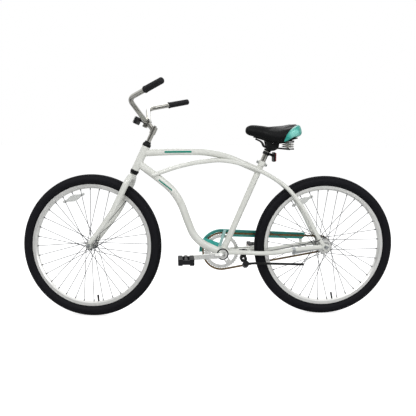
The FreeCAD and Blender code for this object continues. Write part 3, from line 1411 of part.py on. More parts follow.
def rear_wheel():
    """Coaster hub: a barrel that holds the brake, with the driver and sprocket on the drive side."""
    race = REAR_CONE_RADIUS + 2 * HUB_BALL_RADIUS + 2 * BALL_PLAY
    end = REAR_FLANGE_PLACE + HUB_END
    floor = end - 2 * HUB_BALL_RADIUS - 2.5
    bore = REAR_CONE_RADIUS + 1.0
    hub = turned(
        (
            (bore, -floor),
            (race, -floor),
            (race, -end),
            (race + HUB_WALL, -end),
            (REAR_BARREL_RADIUS, -REAR_FLANGE_PLACE + 4),
            (REAR_BARREL_RADIUS - 2.0, 0),
            (REAR_BARREL_RADIUS, REAR_FLANGE_PLACE - 4),
            (race + HUB_WALL, end),
            (race, end),
            (race, floor),
            (bore, floor),
            (bore, floor - 3.0),
            (race, floor - 3.0),
            (race, -floor + 3.0),
            (bore, -floor + 3.0),
        ),
        ACROSS,
    )
    inside = race + HUB_WALL - 1.0
    flanges = [flange_ring(REAR_FLANGE_RADIUS, side * REAR_FLANGE_PLACE, inside) for side in SIDES]
    hub = fused([hub] + flanges)

    def place(solid):
        return solid.translated(REAR_AXLE)

    wheel("rear", REAR_FLANGE_RADIUS, -REAR_FLANGE_PLACE, REAR_FLANGE_PLACE, hub, REAR_VALVE_ANGLE, place)

    inner_face = REAR_SPACING / 2
    outer_face = inner_face + DROPOUT_THICKNESS
    pieces = [stub_axle(REAR_AXLE_RADIUS, REAR_STUB_RADIUS, REAR_AXLE_END, outer_face)]
    circle = REAR_CONE_RADIUS + BALL_PLAY + HUB_BALL_RADIUS
    ball_place = floor + BALL_PLAY + HUB_BALL_RADIUS
    for side in SIDES:
        pieces += ball_row(REAR_HUB_BALLS, circle, HUB_BALL_RADIUS, ACROSS, side * ball_place)

    # Driver and sprocket turn on the axle with a running clearance
    driver_inner = REAR_AXLE_RADIUS + DRIVER_BORE_CLEARANCE
    sprocket_low = CHAIN_LINE - RING_THICKNESS / 2
    sprocket_high = CHAIN_LINE + RING_THICKNESS / 2
    driver = turned(
        (
            (driver_inner, floor + 0.4),
            (REAR_CONE_RADIUS, floor + 0.4),
            (REAR_CONE_RADIUS, end + 0.6),
            (REAR_CONE_RADIUS + 6.0, end + 0.6),
            (REAR_CONE_RADIUS + 6.0, sprocket_low),
            (REAR_CONE_RADIUS + 3.0, sprocket_low),
            (REAR_CONE_RADIUS + 3.0, sprocket_high + 2.0),
            (driver_inner, sprocket_high + 2.0),
        ),
        ACROSS,
    )
    sprocket = toothed_disc(SPROCKET_TEETH, PITCH_RADIUS_SPROCKET)
    sprocket = sprocket.cut(rod(REAR_CONE_RADIUS + 3.0, V(0, sprocket_low, 0), V(0, sprocket_high, 0)))
    snap_ring = sleeve(
        REAR_CONE_RADIUS + 5.0,
        REAR_CONE_RADIUS + 3.0,
        V(0, sprocket_high, 0),
        V(0, sprocket_high + 1.2, 0),
    )
    nodes["rear_sprocket"] = [place(piece) for piece in (driver, sprocket, snap_ring)]

    right_face = sprocket_high + 2.0 + 0.4
    right_cone = turned(
        (
            (REAR_AXLE_RADIUS + SEAT_CLEARANCE, right_face),
            (REAR_CONE_RADIUS - 1.0, right_face),
            (REAR_CONE_RADIUS - 1.0, right_face + 3.0),
            (WASHER_RADIUS, right_face + 3.0),
            (WASHER_RADIUS, inner_face),
            (REAR_AXLE_RADIUS + SEAT_CLEARANCE, inner_face),
        ),
        ACROSS,
    )
    pieces.append(right_cone)
    arm_face = -inner_face + BRAKE_ARM_GAP
    arm_inner = arm_face + BRAKE_ARM_THICKNESS
    left_lock = sleeve(
        WASHER_RADIUS,
        REAR_AXLE_RADIUS + SEAT_CLEARANCE,
        V(0, -inner_face, 0),
        V(0, arm_face, 0),
    )
    pieces.append(left_lock)
    nodes["rear_axle"] = [place(piece) for piece in pieces]
    nodes["rear_axle_nuts"] = [
        place(piece) for side in SIDES for piece in axle_nut(REAR_AXLE_RADIUS, outer_face, side)
    ]

    # The brake arm carries the left cone and dust cover, and reaches forward to a clip on the chain stay
    cone = turned(
        (
            (REAR_AXLE_RADIUS + SEAT_CLEARANCE, -floor - 0.4),
            (REAR_CONE_RADIUS, -floor - 0.4),
            (REAR_CONE_RADIUS, -end - 0.6),
            (REAR_CONE_RADIUS + 8.0, -end - 0.6),
            (REAR_CONE_RADIUS + 8.0, -end - 3.0),
            (REAR_CONE_RADIUS + 2.0, -end - 3.0),
            (REAR_CONE_RADIUS + 2.0, arm_inner),
            (REAR_AXLE_RADIUS + SEAT_CLEARANCE, arm_inner),
        ),
        ACROSS,
    )
    return cone, arm_face, arm_inner


def toothed_disc(teeth, pitch_radius):
    """Flat disc with teeth whose tips stay just inside the chain's rollers."""
    tip = pitch_radius - ROLLER_RADIUS - TOOTH_GAP
    root = tip - TOOTH_DEPTH
    corners = []
    low = CHAIN_LINE - RING_THICKNESS / 2
    for tooth in range(teeth):
        for radius, share in ((root, -0.34), (tip, -0.14), (tip, 0.14), (root, 0.34)):
            corners.append(point_on_arc(radius, 360.0 * (tooth + 0.5 + share) / teeth, low))
    face = Part.Face(Part.makePolygon(corners + corners[:1]))
    return face.extrude(V(0, RING_THICKNESS, 0))


# Drive

def chain_place(travel):
    """Point of the chain's loop at a travelled length from the lower run's start."""
    centre_line = REAR_AXLE.sub(BRACKET)
    lean = math.atan2(centre_line.z, centre_line.x)
    slope = math.asin((PITCH_RADIUS_RING - PITCH_RADIUS_SPROCKET) / CENTRES)
    run = math.sqrt(CENTRES ** 2 - (PITCH_RADIUS_RING - PITCH_RADIUS_SPROCKET) ** 2)
    lower = lean + slope - math.pi / 2
    upper = lean - slope + math.pi / 2
    rear_arc = PITCH_RADIUS_SPROCKET * (upper - lower)

    def on_circle(centre, radius, angle):
        return centre.add(V(radius * math.cos(angle), 0, radius * math.sin(angle)))

    if travel < run:
        start = on_circle(BRACKET, PITCH_RADIUS_RING, lower)
        end = on_circle(REAR_AXLE, PITCH_RADIUS_SPROCKET, lower)
        return start.add(end.sub(start).multiply(travel / run))
    travel -= run
    if travel < rear_arc:
        return on_circle(REAR_AXLE, PITCH_RADIUS_SPROCKET, lower + travel / PITCH_RADIUS_SPROCKET)
    travel -= rear_arc
    if travel < run:
        start = on_circle(REAR_AXLE, PITCH_RADIUS_SPROCKET, upper)
        end = on_circle(BRACKET, PITCH_RADIUS_RING, upper)
        return start.add(end.sub(start).multiply(travel / run))
    travel -= run
    return on_circle(BRACKET, PITCH_RADIUS_RING, upper + travel / PITCH_RADIUS_RING)


def link_plate(inner_face):
    """One link plate between pins at x = 0 and x = the pitch, on the outer side of a face."""
    half = CHAIN_PLATE_HEIGHT / 2
    left = V(0, inner_face, 0)
    edges = [
        Part.LineSegment(V(0, inner_face, -half), V(CHAIN_PITCH, inner_face, -half)).toShape(),
        Part.Arc(
            V(CHAIN_PITCH, inner_face, -half),
            V(CHAIN_PITCH + half, inner_face, 0),
            V(CHAIN_PITCH, inner_face, half),
        ).toShape(),
        Part.LineSegment(V(CHAIN_PITCH, inner_face, half), V(0, inner_face, half)).toShape(),
        Part.Arc(V(0, inner_face, half), left.add(V(-half, 0, 0)), V(0, inner_face, -half)).toShape(),
    ]
    return Part.Face(Part.Wire(edges)).extrude(V(0, CHAIN_PLATE_THICKNESS, 0))


def chain():
    half = ROLLER_WIDTH / 2
    outer_face = half + CHAIN_PLATE_THICKNESS + CHAIN_PLATE_GAP
    pin_end = outer_face + CHAIN_PLATE_THICKNESS + CHAIN_PIN_OVERHANG
    pins = (V(0, 0, 0), V(CHAIN_PITCH, 0, 0))
    inner_plate = link_plate(half)
    rollers = [rod(ROLLER_RADIUS, pin.add(V(0, -half, 0)), pin.add(V(0, half, 0))) for pin in pins]
    bores = [rod(CHAIN_PIN_RADIUS + BALL_PLAY, pin.add(V(0, -9, 0)), pin.add(V(0, 9, 0))) for pin in pins]
    inner = fused([inner_plate, mirrored(inner_plate)] + rollers).cut(bores)
    outer_plate = link_plate(outer_face)
    shafts = [rod(CHAIN_PIN_RADIUS, pin.add(V(0, -pin_end, 0)), pin.add(V(0, pin_end, 0))) for pin in pins]
    outer = fused([outer_plate, mirrored(outer_plate)] + shafts)
    links = []
    for number in range(CHAIN_LINKS):
        start = chain_place(number * CHAIN_STEP)
        end = chain_place((number + 1) % CHAIN_LINKS * CHAIN_STEP)
        run = end.sub(start)
        pattern = outer if number % 2 else inner
        slack = V(run).normalize().multiply((run.Length - CHAIN_PITCH) / 2)
        turn = math.degrees(math.atan2(run.z, run.x))
        link = pattern.rotated(ORIGIN, ACROSS, -turn)
        links.append(link.translated(start.add(slack).add(V(0, CHAIN_LINE, 0))))
    nodes["chain"] = links


def crank():
    """One-piece crank with its cones and lock nut, and the chainring."""
    elbow = CRANK_ELBOW
    rise = CRANK_FLARE / CRANK_LENGTH
    stub = 40.0
    points = [
        V(-stub, -elbow - rise * stub, 0),
        V(0, -elbow, 0),
        V(0, elbow, 0),
        V(stub, elbow + rise * stub, 0),
    ]
    pieces = [swept(points, CRANK_SPINDLE_RADIUS, CRANK_BEND)]
    eye_place = elbow + CRANK_FLARE
    for side in SIDES:
        arm_start = V(side * stub / 2, side * (elbow + rise * stub / 2), 0)
        arm_end = V(side * CRANK_LENGTH, side * eye_place, 0)
        pieces.append(crank_arm(arm_start, arm_end))
        eye_low = V(side * CRANK_LENGTH, side * (eye_place - CRANK_ARM_THICKNESS / 2 - 1), 0)
        eye_high = V(side * CRANK_LENGTH, side * (eye_place + CRANK_ARM_THICKNESS / 2 + 1), 0)
        pieces.append(rod(CRANK_EYE_RADIUS, eye_low, eye_high))
    forging = fused(pieces)
    spindle_start = eye_place + CRANK_ARM_THICKNESS / 2 + 1
    spindle_end = spindle_start + 6 + PEDAL_WIDTH - PEDAL_PLATE
    spindles = []
    for side in SIDES:
        centre = V(side * CRANK_LENGTH, 0, 0)
        low = centre.add(V(0, side * spindle_start, 0))
        spindle = rod(PEDAL_SPINDLE_RADIUS, low, centre.add(V(0, side * spindle_end, 0)))
        collar = rod(PEDAL_SPINDLE_RADIUS + 3, low, low.add(V(0, side * 5, 0)))
        spindles.append(fused([spindle, collar]))

    half = SHELL_WIDTH / 2
    floor = half - CUP_DEPTH + CUP_FLOOR
    cover_low = half + CUP_LIP + 0.4
    cover_high = cover_low + DUST_COVER_THICKNESS
    inner = CRANK_SPINDLE_RADIUS + SEAT_CLEARANCE
    cone = turned(
        (
            (inner, floor + 0.4),
            (BRACKET_CONE_RADIUS, floor + 0.4),
            (BRACKET_CONE_RADIUS, cover_low),
            (DUST_COVER_RADIUS, cover_low),
            (DUST_COVER_RADIUS, cover_high),
            (inner, cover_high),
        ),
        ACROSS,
    )
    lock_nut = hexagon(32.0, V(0, -cover_high, 0), V(0, -4.5, 0))
    lock_nut = lock_nut.cut(rod(inner, V(0, -cover_high - 5, 0), V(0, -cover_high, 0)))
    droop = -CRANK_DROOP

    def place(solid):
        return solid.rotated(ORIGIN, ACROSS, droop).translated(BRACKET)

    solids = [forging] + spindles + [cone, mirrored(cone), lock_nut]
    nodes["crank"] = [place(solid) for solid in solids]

    # The chainring's gaps line up with the rollers round its front
    ring_low = CHAIN_LINE - RING_THICKNESS / 2
    ring_high = CHAIN_LINE + RING_THICKNESS / 2
    disc = toothed_disc(CHAINRING_TEETH, PITCH_RADIUS_RING)
    hole = rod(inner, V(0, 0, 0), V(0, 3 * CHAIN_LINE, 0))
    tip = PITCH_RADIUS_RING - ROLLER_RADIUS - TOOTH_GAP
    band_inner = tip - TOOTH_DEPTH - RING_BAND
    opening = rod(band_inner, V(0, ring_low, 0), V(0, ring_high, 0))
    arms = [rod(RING_BOSS_RADIUS, V(0, ring_low, 0), V(0, ring_high, 0))]
    for number in range(RING_ARMS):
        arm = boxed(
            V(0, ring_low, -RING_ARM_WIDTH / 2),
            V(band_inner + 4, ring_high, RING_ARM_WIDTH / 2),
        )
        arm = arm.cut(rod(7.0, V(0.68 * band_inner, ring_low, 0), V(0.68 * band_inner, ring_high, 0)))
        arms.append(arm.rotated(ORIGIN, ACROSS, -360.0 * number / RING_ARMS))
    boss = rod(RING_BOSS_RADIUS - 6, V(0, cover_high, 0), V(0, ring_low, 0))
    ring = fused([disc.cut(opening), boss] + arms).cut(hole)
    front = BRACKET.add(V(-PITCH_RADIUS_RING, 0, 0))
    nearest = min(
        (chain_place(number * CHAIN_STEP) for number in range(CHAIN_LINKS)),
        key=lambda joint: joint.sub(front).Length,
    ).sub(BRACKET)
    phase = math.degrees(math.atan2(nearest.z, nearest.x))
    nodes["chainring"] = [largest(ring).rotated(ORIGIN, ACROSS, -phase).translated(BRACKET)]
    return place, spindle_start + 5


def crank_arm(start, end):
    """Flat forged arm that widens a little towards the pedal eye."""
    run = end.sub(start)
    length = run.Length
    corners = [
        V(0, -CRANK_ARM_THICKNESS / 2, -CRANK_ARM_ROOT),
        V(length, -CRANK_ARM_THICKNESS / 2, -CRANK_EYE_RADIUS + 3),
        V(length, -CRANK_ARM_THICKNESS / 2, CRANK_EYE_RADIUS - 3),
        V(0, -CRANK_ARM_THICKNESS / 2, CRANK_ARM_ROOT),
    ]
    bar = Part.Face(Part.makePolygon(corners + corners[:1])).extrude(V(0, CRANK_ARM_THICKNESS, 0))
    long_edges = [e for e in bar.Edges if abs(e.tangentAt(e.FirstParameter).x) > 0.9]
    bar = bar.makeFillet(3.0, long_edges)
    bar = bar.rotated(ORIGIN, UP, math.degrees(math.atan2(run.y, run.x)))
    return bar.translated(start)


def pedals(place, inner_end):
    """Block pedals that stay level, each with a reflector on its front and rear face."""
    low = inner_end + 0.6
    high = low + PEDAL_WIDTH
    half = PEDAL_LENGTH / 2
    thick = PEDAL_THICKNESS / 2
    barrel = rod(PEDAL_BARREL_RADIUS, V(0, low, 0), V(0, high, 0))
    pieces = [barrel]
    for side in SIDES:
        bar_x = side * (half - PEDAL_BAR / 2)
        bar = boxed(V(bar_x - PEDAL_BAR / 2, low, -thick), V(bar_x + PEDAL_BAR / 2, high, thick))
        round_edges = [e for e in bar.Edges if abs(e.tangentAt(e.FirstParameter).y) > 0.9]
        pieces.append(bar.makeFillet(4.0, round_edges))
    for end in (low, high - PEDAL_PLATE):
        plate_half = half - PEDAL_BAR / 2
        plate_high = V(plate_half, end + PEDAL_PLATE, 0.7 * thick)
        pieces.append(boxed(V(-plate_half, end, -0.7 * thick), plate_high))
    body = fused(pieces)
    cuts = []
    pitch = PEDAL_WIDTH / (PEDAL_TREAD_CUTS + 1)
    for number in range(PEDAL_TREAD_CUTS):
        at = low + pitch * (number + 1)
        for face in SIDES:
            start = min(face * thick, face * (thick - PEDAL_TREAD_DEPTH))
            cut_high = V(half + 1, at + 2.5, start + PEDAL_TREAD_DEPTH)
            cuts.append(boxed(V(-half - 1, at - 2.5, start), cut_high))
    bore = rod(PEDAL_SPINDLE_RADIUS + RUNNING_CLEARANCE, V(0, low, 0), V(0, high - PEDAL_PLATE + 1, 0))
    deep, wide, tall = PEDAL_REFLECTOR_SIZE
    middle = (low + high) / 2
    lenses = []
    for side in SIDES:
        edge = side * half
        start = min(edge, edge - side * deep)
        lens = boxed(V(start, middle - wide / 2, -tall / 2), V(start + deep, middle + wide / 2, tall / 2))
        lenses.append(lens)
    body = largest(body.cut(cuts + [bore] + lenses))
    for name, side in (("left", -1), ("right", 1)):
        centre = place(Part.Vertex(V(side * CRANK_LENGTH, 0, 0))).Point
        if side > 0:
            solids = [body] + lenses
        else:
            solids = [mirrored(solid) for solid in [body] + lenses]
        seated = [solid.translated(centre) for solid in solids]
        nodes["pedal_" + name] = seated[:1]
        nodes["pedal_" + name + "_reflectors"] = seated[1:]


# Guard, brake arm and kickstand

def chain_guard(shell_filled, chain_points):
    """Plate outside the chain with a lip over the top, on straps to the bracket shell and the chain stay."""
    inner_radius = GUARD_RADIUS - GUARD_BAND
    crest = BRACKET.add(V(0, GUARD_PLANE, GUARD_RADIUS))
    rear_top = V(GUARD_REAR - 12, GUARD_PLANE, REAR_AXLE.z + GUARD_REAR_TOP)
    rear_mid = V(GUARD_REAR, GUARD_PLANE, REAR_AXLE.z + GUARD_REAR_TOP - GUARD_REAR_HEIGHT / 2)
    rear_low = V(GUARD_REAR - 20, GUARD_PLANE, REAR_AXLE.z + GUARD_REAR_TOP - GUARD_REAR_HEIGHT)
    front_low = V(BRACKET.x + GUARD_RUN_HEIGHT, GUARD_PLANE, BRACKET.z + GUARD_RADIUS - GUARD_RUN_HEIGHT)
    start_angle = GUARD_FRONT_ANGLE

    def guard_point(radius, degrees):
        return BRACKET.add(point_on_arc(radius, degrees, GUARD_PLANE))

    tie = guard_point(inner_radius, GUARD_TIE_ANGLE)
    middle_angle = (start_angle + 90) / 2
    inner_middle = (start_angle + GUARD_TIE_ANGLE) / 2
    edges = [
        Part.Arc(
            guard_point(GUARD_RADIUS, start_angle),
            guard_point(GUARD_RADIUS, middle_angle),
            crest,
        ).toShape(),
        Part.LineSegment(crest, rear_top).toShape(),
        Part.LineSegment(rear_top, rear_mid).toShape(),
        Part.LineSegment(rear_mid, rear_low).toShape(),
        Part.LineSegment(rear_low, front_low).toShape(),
        Part.LineSegment(front_low, guard_point(inner_radius, 80)).toShape(),
        Part.Arc(
            guard_point(inner_radius, 80),
            guard_point(inner_radius, (80 + GUARD_TIE_ANGLE) / 2),
            tie,
        ).toShape(),
        Part.Arc(
            tie,
            guard_point(inner_radius, inner_middle),
            guard_point(inner_radius, start_angle),
        ).toShape(),
        Part.LineSegment(
            guard_point(inner_radius, start_angle),
            guard_point(GUARD_RADIUS, start_angle),
        ).toShape(),
    ]
    plate = Part.Face(Part.Wire(edges)).extrude(V(0, GUARD_THICKNESS, 0))

    # The inner tie runs inside the chain, from the front arc down towards the bottom bracket
    rim = GUARD_RADIUS - 0.5
    inward = V(0, GUARD_TIE_PLANE, 0)
    across = V(0, GUARD_PLANE + GUARD_THICKNESS - GUARD_TIE_PLANE, 0)
    upper = BRACKET.add(inward).add(point_on_arc(rim, GUARD_TIE_ANGLE - GUARD_TIE_SPREAD / 2))
    lower = BRACKET.add(inward).add(point_on_arc(rim, GUARD_TIE_ANGLE + GUARD_TIE_SPREAD / 2))
    edge = [BRACKET.add(V(x, GUARD_TIE_PLANE, z)) for x, z in GUARD_TIE_EDGE]
    corners = [lower, upper] + edge
    tie_plate = Part.Face(Part.makePolygon(corners + corners[:1])).extrude(V(0, GUARD_THICKNESS, 0))
    deep = point_on_arc(2 * GUARD_THICKNESS, GUARD_TIE_ANGLE)
    corners = [lower, upper, upper.sub(deep), lower.sub(deep)]
    tie_lip = Part.Face(Part.makePolygon(corners + corners[:1])).extrude(across)

    def guard_lip(radius):
        top = BRACKET.add(V(0, GUARD_PLANE - GUARD_LIP, radius))
        low = BRACKET.add(point_on_arc(radius, start_angle, GUARD_PLANE - GUARD_LIP))
        middle = BRACKET.add(point_on_arc(radius, middle_angle, GUARD_PLANE - GUARD_LIP))
        rear = V(rear_top.x, GUARD_PLANE - GUARD_LIP, rear_top.z - (GUARD_RADIUS - radius))
        return low, middle, top, rear

    outer = guard_lip(GUARD_RADIUS)
    inner = guard_lip(GUARD_RADIUS - GUARD_THICKNESS)
    lip_edges = [
        Part.Arc(outer[0], outer[1], outer[2]).toShape(),
        Part.LineSegment(outer[2], outer[3]).toShape(),
        Part.LineSegment(outer[3], inner[3]).toShape(),
        Part.LineSegment(inner[3], inner[2]).toShape(),
        Part.Arc(inner[2], inner[1], inner[0]).toShape(),
        Part.LineSegment(inner[0], outer[0]).toShape(),
    ]
    lip = Part.Face(Part.Wire(lip_edges)).extrude(V(0, GUARD_LIP + GUARD_THICKNESS, 0))
    # The tie ends just outside the bottom bracket shell and the lip of its cup
    shell_end = V(0, SHELL_WIDTH / 2 + CUP_LIP + GUARD_THICKNESS, 0)
    shell_room = rod(SHELL_OD / 2 + SOFT_CLEARANCE, BRACKET, BRACKET.add(shell_end))
    guard = largest(fused([plate, tie_plate.cut(shell_room), tie_lip, lip]))
    nodes["chain_guard"] = [guard]

    # Front strap: from the bottom bracket shell up inside the chain, and over the chain to the guard's plate
    strap_low = GUARD_TIE_PLANE - GUARD_STRAP_THICKNESS
    top = BRACKET.add(V(GUARD_STRAP_TOP[0], strap_low, GUARD_STRAP_TOP[1]))
    foot = BRACKET.add(V(GUARD_STRAP_FOOT[0], strap_low, GUARD_STRAP_FOOT[1]))
    strap_side = top.sub(foot).normalize().cross(ACROSS).multiply(GUARD_STRAP_WIDTH / 2)
    corners = [foot.add(strap_side), foot.sub(strap_side), top.sub(strap_side), top.add(strap_side)]
    riser = Part.Face(Part.makePolygon(corners + corners[:1])).extrude(V(0, GUARD_STRAP_THICKNESS, 0))
    tab = boxed(
        V(top.x - GUARD_STRAP_WIDTH / 2, strap_low, top.z - GUARD_STRAP_THICKNESS),
        V(top.x + GUARD_STRAP_WIDTH / 2, GUARD_PLANE, top.z),
    )
    flap = boxed(
        V(top.x - GUARD_STRAP_WIDTH / 2, GUARD_PLANE - GUARD_STRAP_THICKNESS, top.z - GUARD_FRONT_TAB / 2),
        V(top.x + GUARD_STRAP_WIDTH / 2, GUARD_PLANE, top.z),
    )
    front = fused([riser, tab, flap]).cut([shell_filled, guard])
    # Rear strap: from the plate's end down to the top of the drive-side chain stay
    strap_x = GUARD_REAR - 26.0
    stay = swept(chain_points, CHAIN_STAY_OD / 2 + 0.75 * SOFT_CLEARANCE)
    strap_low = GUARD_PLANE + GUARD_THICKNESS
    strap = boxed(
        V(strap_x - GUARD_STRAP_WIDTH / 2, strap_low, REAR_AXLE.z - 4),
        V(strap_x + GUARD_STRAP_WIDTH / 2, strap_low + GUARD_STRAP_THICKNESS, rear_top.z - 8),
    )
    strap = max(strap.cut(stay).Solids, key=lambda solid: solid.BoundBox.ZMax)
    screws = []
    screw_low = V(top.x, GUARD_PLANE + GUARD_THICKNESS, top.z - GUARD_FRONT_TAB / 4)
    screws.append(rod(SCREW_RADIUS, screw_low, screw_low.add(V(0, SCREW_HEIGHT, 0))))
    rear_screw = V(strap_x, strap_low + GUARD_STRAP_THICKNESS, rear_top.z - 16)
    screws.append(rod(SCREW_RADIUS, rear_screw, rear_screw.add(V(0, SCREW_HEIGHT, 0))))
    nodes["chain_guard_brackets"] = [largest(front), strap] + screws


def brake_arm(cone, arm_face, arm_inner, chain_points):
    """Flat arm from the hub's left end to a clip round the left chain stay."""
    reach = -BRAKE_ARM_LENGTH
    mirrored_points = [V(p.x, -p.y, p.z) for p in chain_points]
    path = tangent_path(mirrored_points).discretize(Number=121)
    stay_place = min(path, key=lambda p: abs(p.x - reach))
    drop = stay_place.z - REAR_AXLE.z - CHAIN_STAY_OD / 2 - 8.0
    end = V(reach, 0, drop)
    run = V(end)
    side = V(run).normalize().cross(ACROSS).multiply(BRAKE_ARM_WIDTH / 2)
    base = V(0, arm_face, 0)
    tip = end.add(base)
    slim = V(side).multiply(0.62)
    corners = [base.add(side), base.sub(side), tip.sub(slim), tip.add(slim)]
    bar = Part.Face(Part.makePolygon(corners + corners[:1])).extrude(V(0, BRAKE_ARM_THICKNESS, 0))
    disc = rod(BRAKE_ARM_WIDTH / 2 + 4.0, base, base.add(V(0, BRAKE_ARM_THICKNESS, 0)))
    eye = rod(BRAKE_ARM_WIDTH * 0.4, tip, tip.add(V(0, BRAKE_ARM_THICKNESS, 0)))
    hole = rod(REAR_AXLE_RADIUS + SEAT_CLEARANCE, base, base.add(V(0, BRAKE_ARM_THICKNESS, 0)))
    arm = fused([bar, disc, eye, cone]).cut(hole).translated(REAR_AXLE)
    stay = swept(mirrored_points, CHAIN_STAY_OD / 2)
    ahead = path[path.index(stay_place) + 1].sub(stay_place).normalize()
    start = stay_place.sub(V(ahead).multiply(7.0))
    stop = stay_place.add(V(ahead).multiply(7.0))
    band = rod(CHAIN_STAY_OD / 2 + 1.6, start, stop)
    lug = boxed(
        V(reach - 7, arm_face - 2.0, REAR_AXLE.z + drop - 6),
        V(reach + 7, arm_face, stay_place.z),
    )
    clip = largest(fused([band, lug]).cut(stay).cut(arm))
    screw_start = V(reach, arm_face + BRAKE_ARM_THICKNESS, REAR_AXLE.z + drop)
    screw = rod(SCREW_RADIUS, screw_start, screw_start.add(V(0, SCREW_HEIGHT, 0)))
    nodes["brake_arm"] = [largest(arm), clip, screw]


def kickstand(chain_points):
    """Casting clamped under the chain stays, with a leg that swings on a leaning pin."""
    stays = [swept(chain_points, CHAIN_STAY_OD / 2)]
    stays.append(mirrored(stays[0]))
    centre_x = BRACKET.x + STAND_PLACE
    stay_z = BRACKET.z + CHAIN_STAY_FRONT[0][2]
    neck_length, neck_width = STAND_NECK
    block_top = stay_z - 0.62 * CHAIN_STAY_OD / 2
    eye = V(centre_x + STAND_EYE_PLACE[0], 0, stay_z + STAND_EYE_PLACE[1])
    eye_half = V(0, neck_width / 2, 0)
    neck = boxed(
        V(eye.x - neck_length / 2, -neck_width / 2, eye.z),
        V(eye.x + neck_length / 2, neck_width / 2, block_top),
    )
    eye_disc = rod(STAND_EYE_RADIUS, eye.sub(eye_half), eye.add(eye_half))
    eye_hole = rod(STAND_EYE_HOLE, eye.sub(eye_half), eye.add(eye_half))
    lean = math.radians(STAND_AXIS_LEAN)
    axis = V(0, math.cos(lean), -math.sin(lean))
    pivot = V(centre_x, -STAND_FACE, stay_z - STAND_DROP)
    hub_start = pivot.add(V(axis).multiply(2.0 * STAND_BOSS_WIDTH))
    hub_block = rod(STAND_BOSS_RADIUS, pivot, hub_start)
    face_room = Part.makeCylinder(4 * STAND_BOSS_RADIUS, 4 * STAND_BOSS_WIDTH, pivot, V(axis).negative())
    block = fused([neck, eye_disc, hub_block]).cut([eye_hole, face_room])
    pin_end = pivot.sub(V(axis).multiply(STAND_BOSS_WIDTH + 1.0))
    pin = rod(STAND_PIN_RADIUS, pin_end, hub_start.sub(V(axis).multiply(2.0)))
    pin_head = rod(STAND_PIN_HEAD, pin_end.sub(V(axis).multiply(3.0)), pin_end)
    pin = fused([pin, pin_head])
    plate_length, plate_width, plate_thickness = STAND_PLATE
    bolt_low = V(eye.x, 0, eye.z + STAND_EYE_RADIUS - 4.0)
    plate_low = stay_z + 0.3 * CHAIN_STAY_OD / 2
    plate_high = plate_low + plate_thickness
    bolt = rod(5.0, bolt_low, V(eye.x, 0, plate_high + 1.0))
    bolt_head = hexagon(14.0, V(eye.x, 0, plate_high), V(0, 0, 4.0))
    bolt = fused([bolt, bolt_head])
    plate = boxed(
        V(eye.x - plate_length / 2, -plate_width / 2, plate_low),
        V(eye.x + plate_length / 2, plate_width / 2, plate_high),
    )
    plate = plate.cut(stays + [bolt])
    block = block.cut(stays + [bolt, pin])
    nodes["kickstand_bracket"] = [largest(block), largest(plate), bolt, pin]

    boss_low = pivot.sub(V(axis).multiply(SOFT_CLEARANCE))
    boss_high = boss_low.sub(V(axis).multiply(STAND_BOSS_WIDTH))
    boss = rod(STAND_BOSS_RADIUS, boss_low, boss_high)
    root = boss_low.sub(V(axis).multiply(STAND_BOSS_WIDTH / 2))
    leg = swept([root, root.add(V(*STAND_ELBOW)), root.add(V(*STAND_TOE))], STAND_LEG_RADIUS)
    inside_room = Part.makeCylinder(4 * STAND_BOSS_RADIUS, 4 * STAND_BOSS_WIDTH, boss_low, axis)
    head_room = Part.makeCylinder(
        STAND_PIN_HEAD + 2 * SOFT_CLEARANCE, STAND_BOSS_WIDTH, boss_high, V(axis).negative()
    )
    leg = largest(leg.cut([inside_room, head_room]))
    bore = rod(STAND_PIN_RADIUS + RUNNING_CLEARANCE, pivot, pin_end)
    nodes["kickstand_leg"] = [largest(fused([boss, leg]).cut(bore))]


def build():
    race_low, cone_top = head_assembly()
    shell_filled, seat_filled, stay_neighbours, leave = main_frame()
    chain_points = rear_triangle(shell_filled, seat_filled, stay_neighbours, leave)
    bottom_bracket()
    seat_clamp()
    seat_post()
    saddle()
    fork(race_low, cone_top)
    stem(cone_top)
    handlebar()
    front_reflector()
    front_wheel()
    cone, arm_face, arm_inner = rear_wheel()
    brake_arm(cone, arm_face, arm_inner, chain_points)
    chain()
    place, inner_end = crank()
    pedals(place, inner_end)
    chain_guard(shell_filled, chain_points)
    kickstand(chain_points)


def export():
    os.makedirs("parts", exist_ok=True)
    for name, solids in nodes.items():
        for solid in solids:
            if solid.ShapeType == "Compound" and len(solid.Solids) != 1:
                print("not one solid:", name, len(solid.Solids))
            if not solid.isValid():
                print("not valid:", name)
        pieces = [piece for solid in solids for piece in solid.Solids]
        shape = pieces[0] if len(pieces) == 1 else Part.makeCompound(pieces)
        shape.exportStep(os.path.join("parts", name + ".step"))


build()
export()
print("nodes:", len(nodes))
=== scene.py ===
"""Studio scene of a beach cruiser bicycle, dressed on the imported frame.

Lengths are given in millimetres and turned to metres where a mesh is made. The front of the
bicycle is -X, its left side is -Y and the floor is Z = 0.
"""

import json
import logging
import math
from dataclasses import dataclass, field
from enum import Enum
from typing import Any, Iterable, Optional, Sequence

import bmesh
import bpy
from mathutils import Matrix, Vector
from mathutils.bvhtree import BVHTree

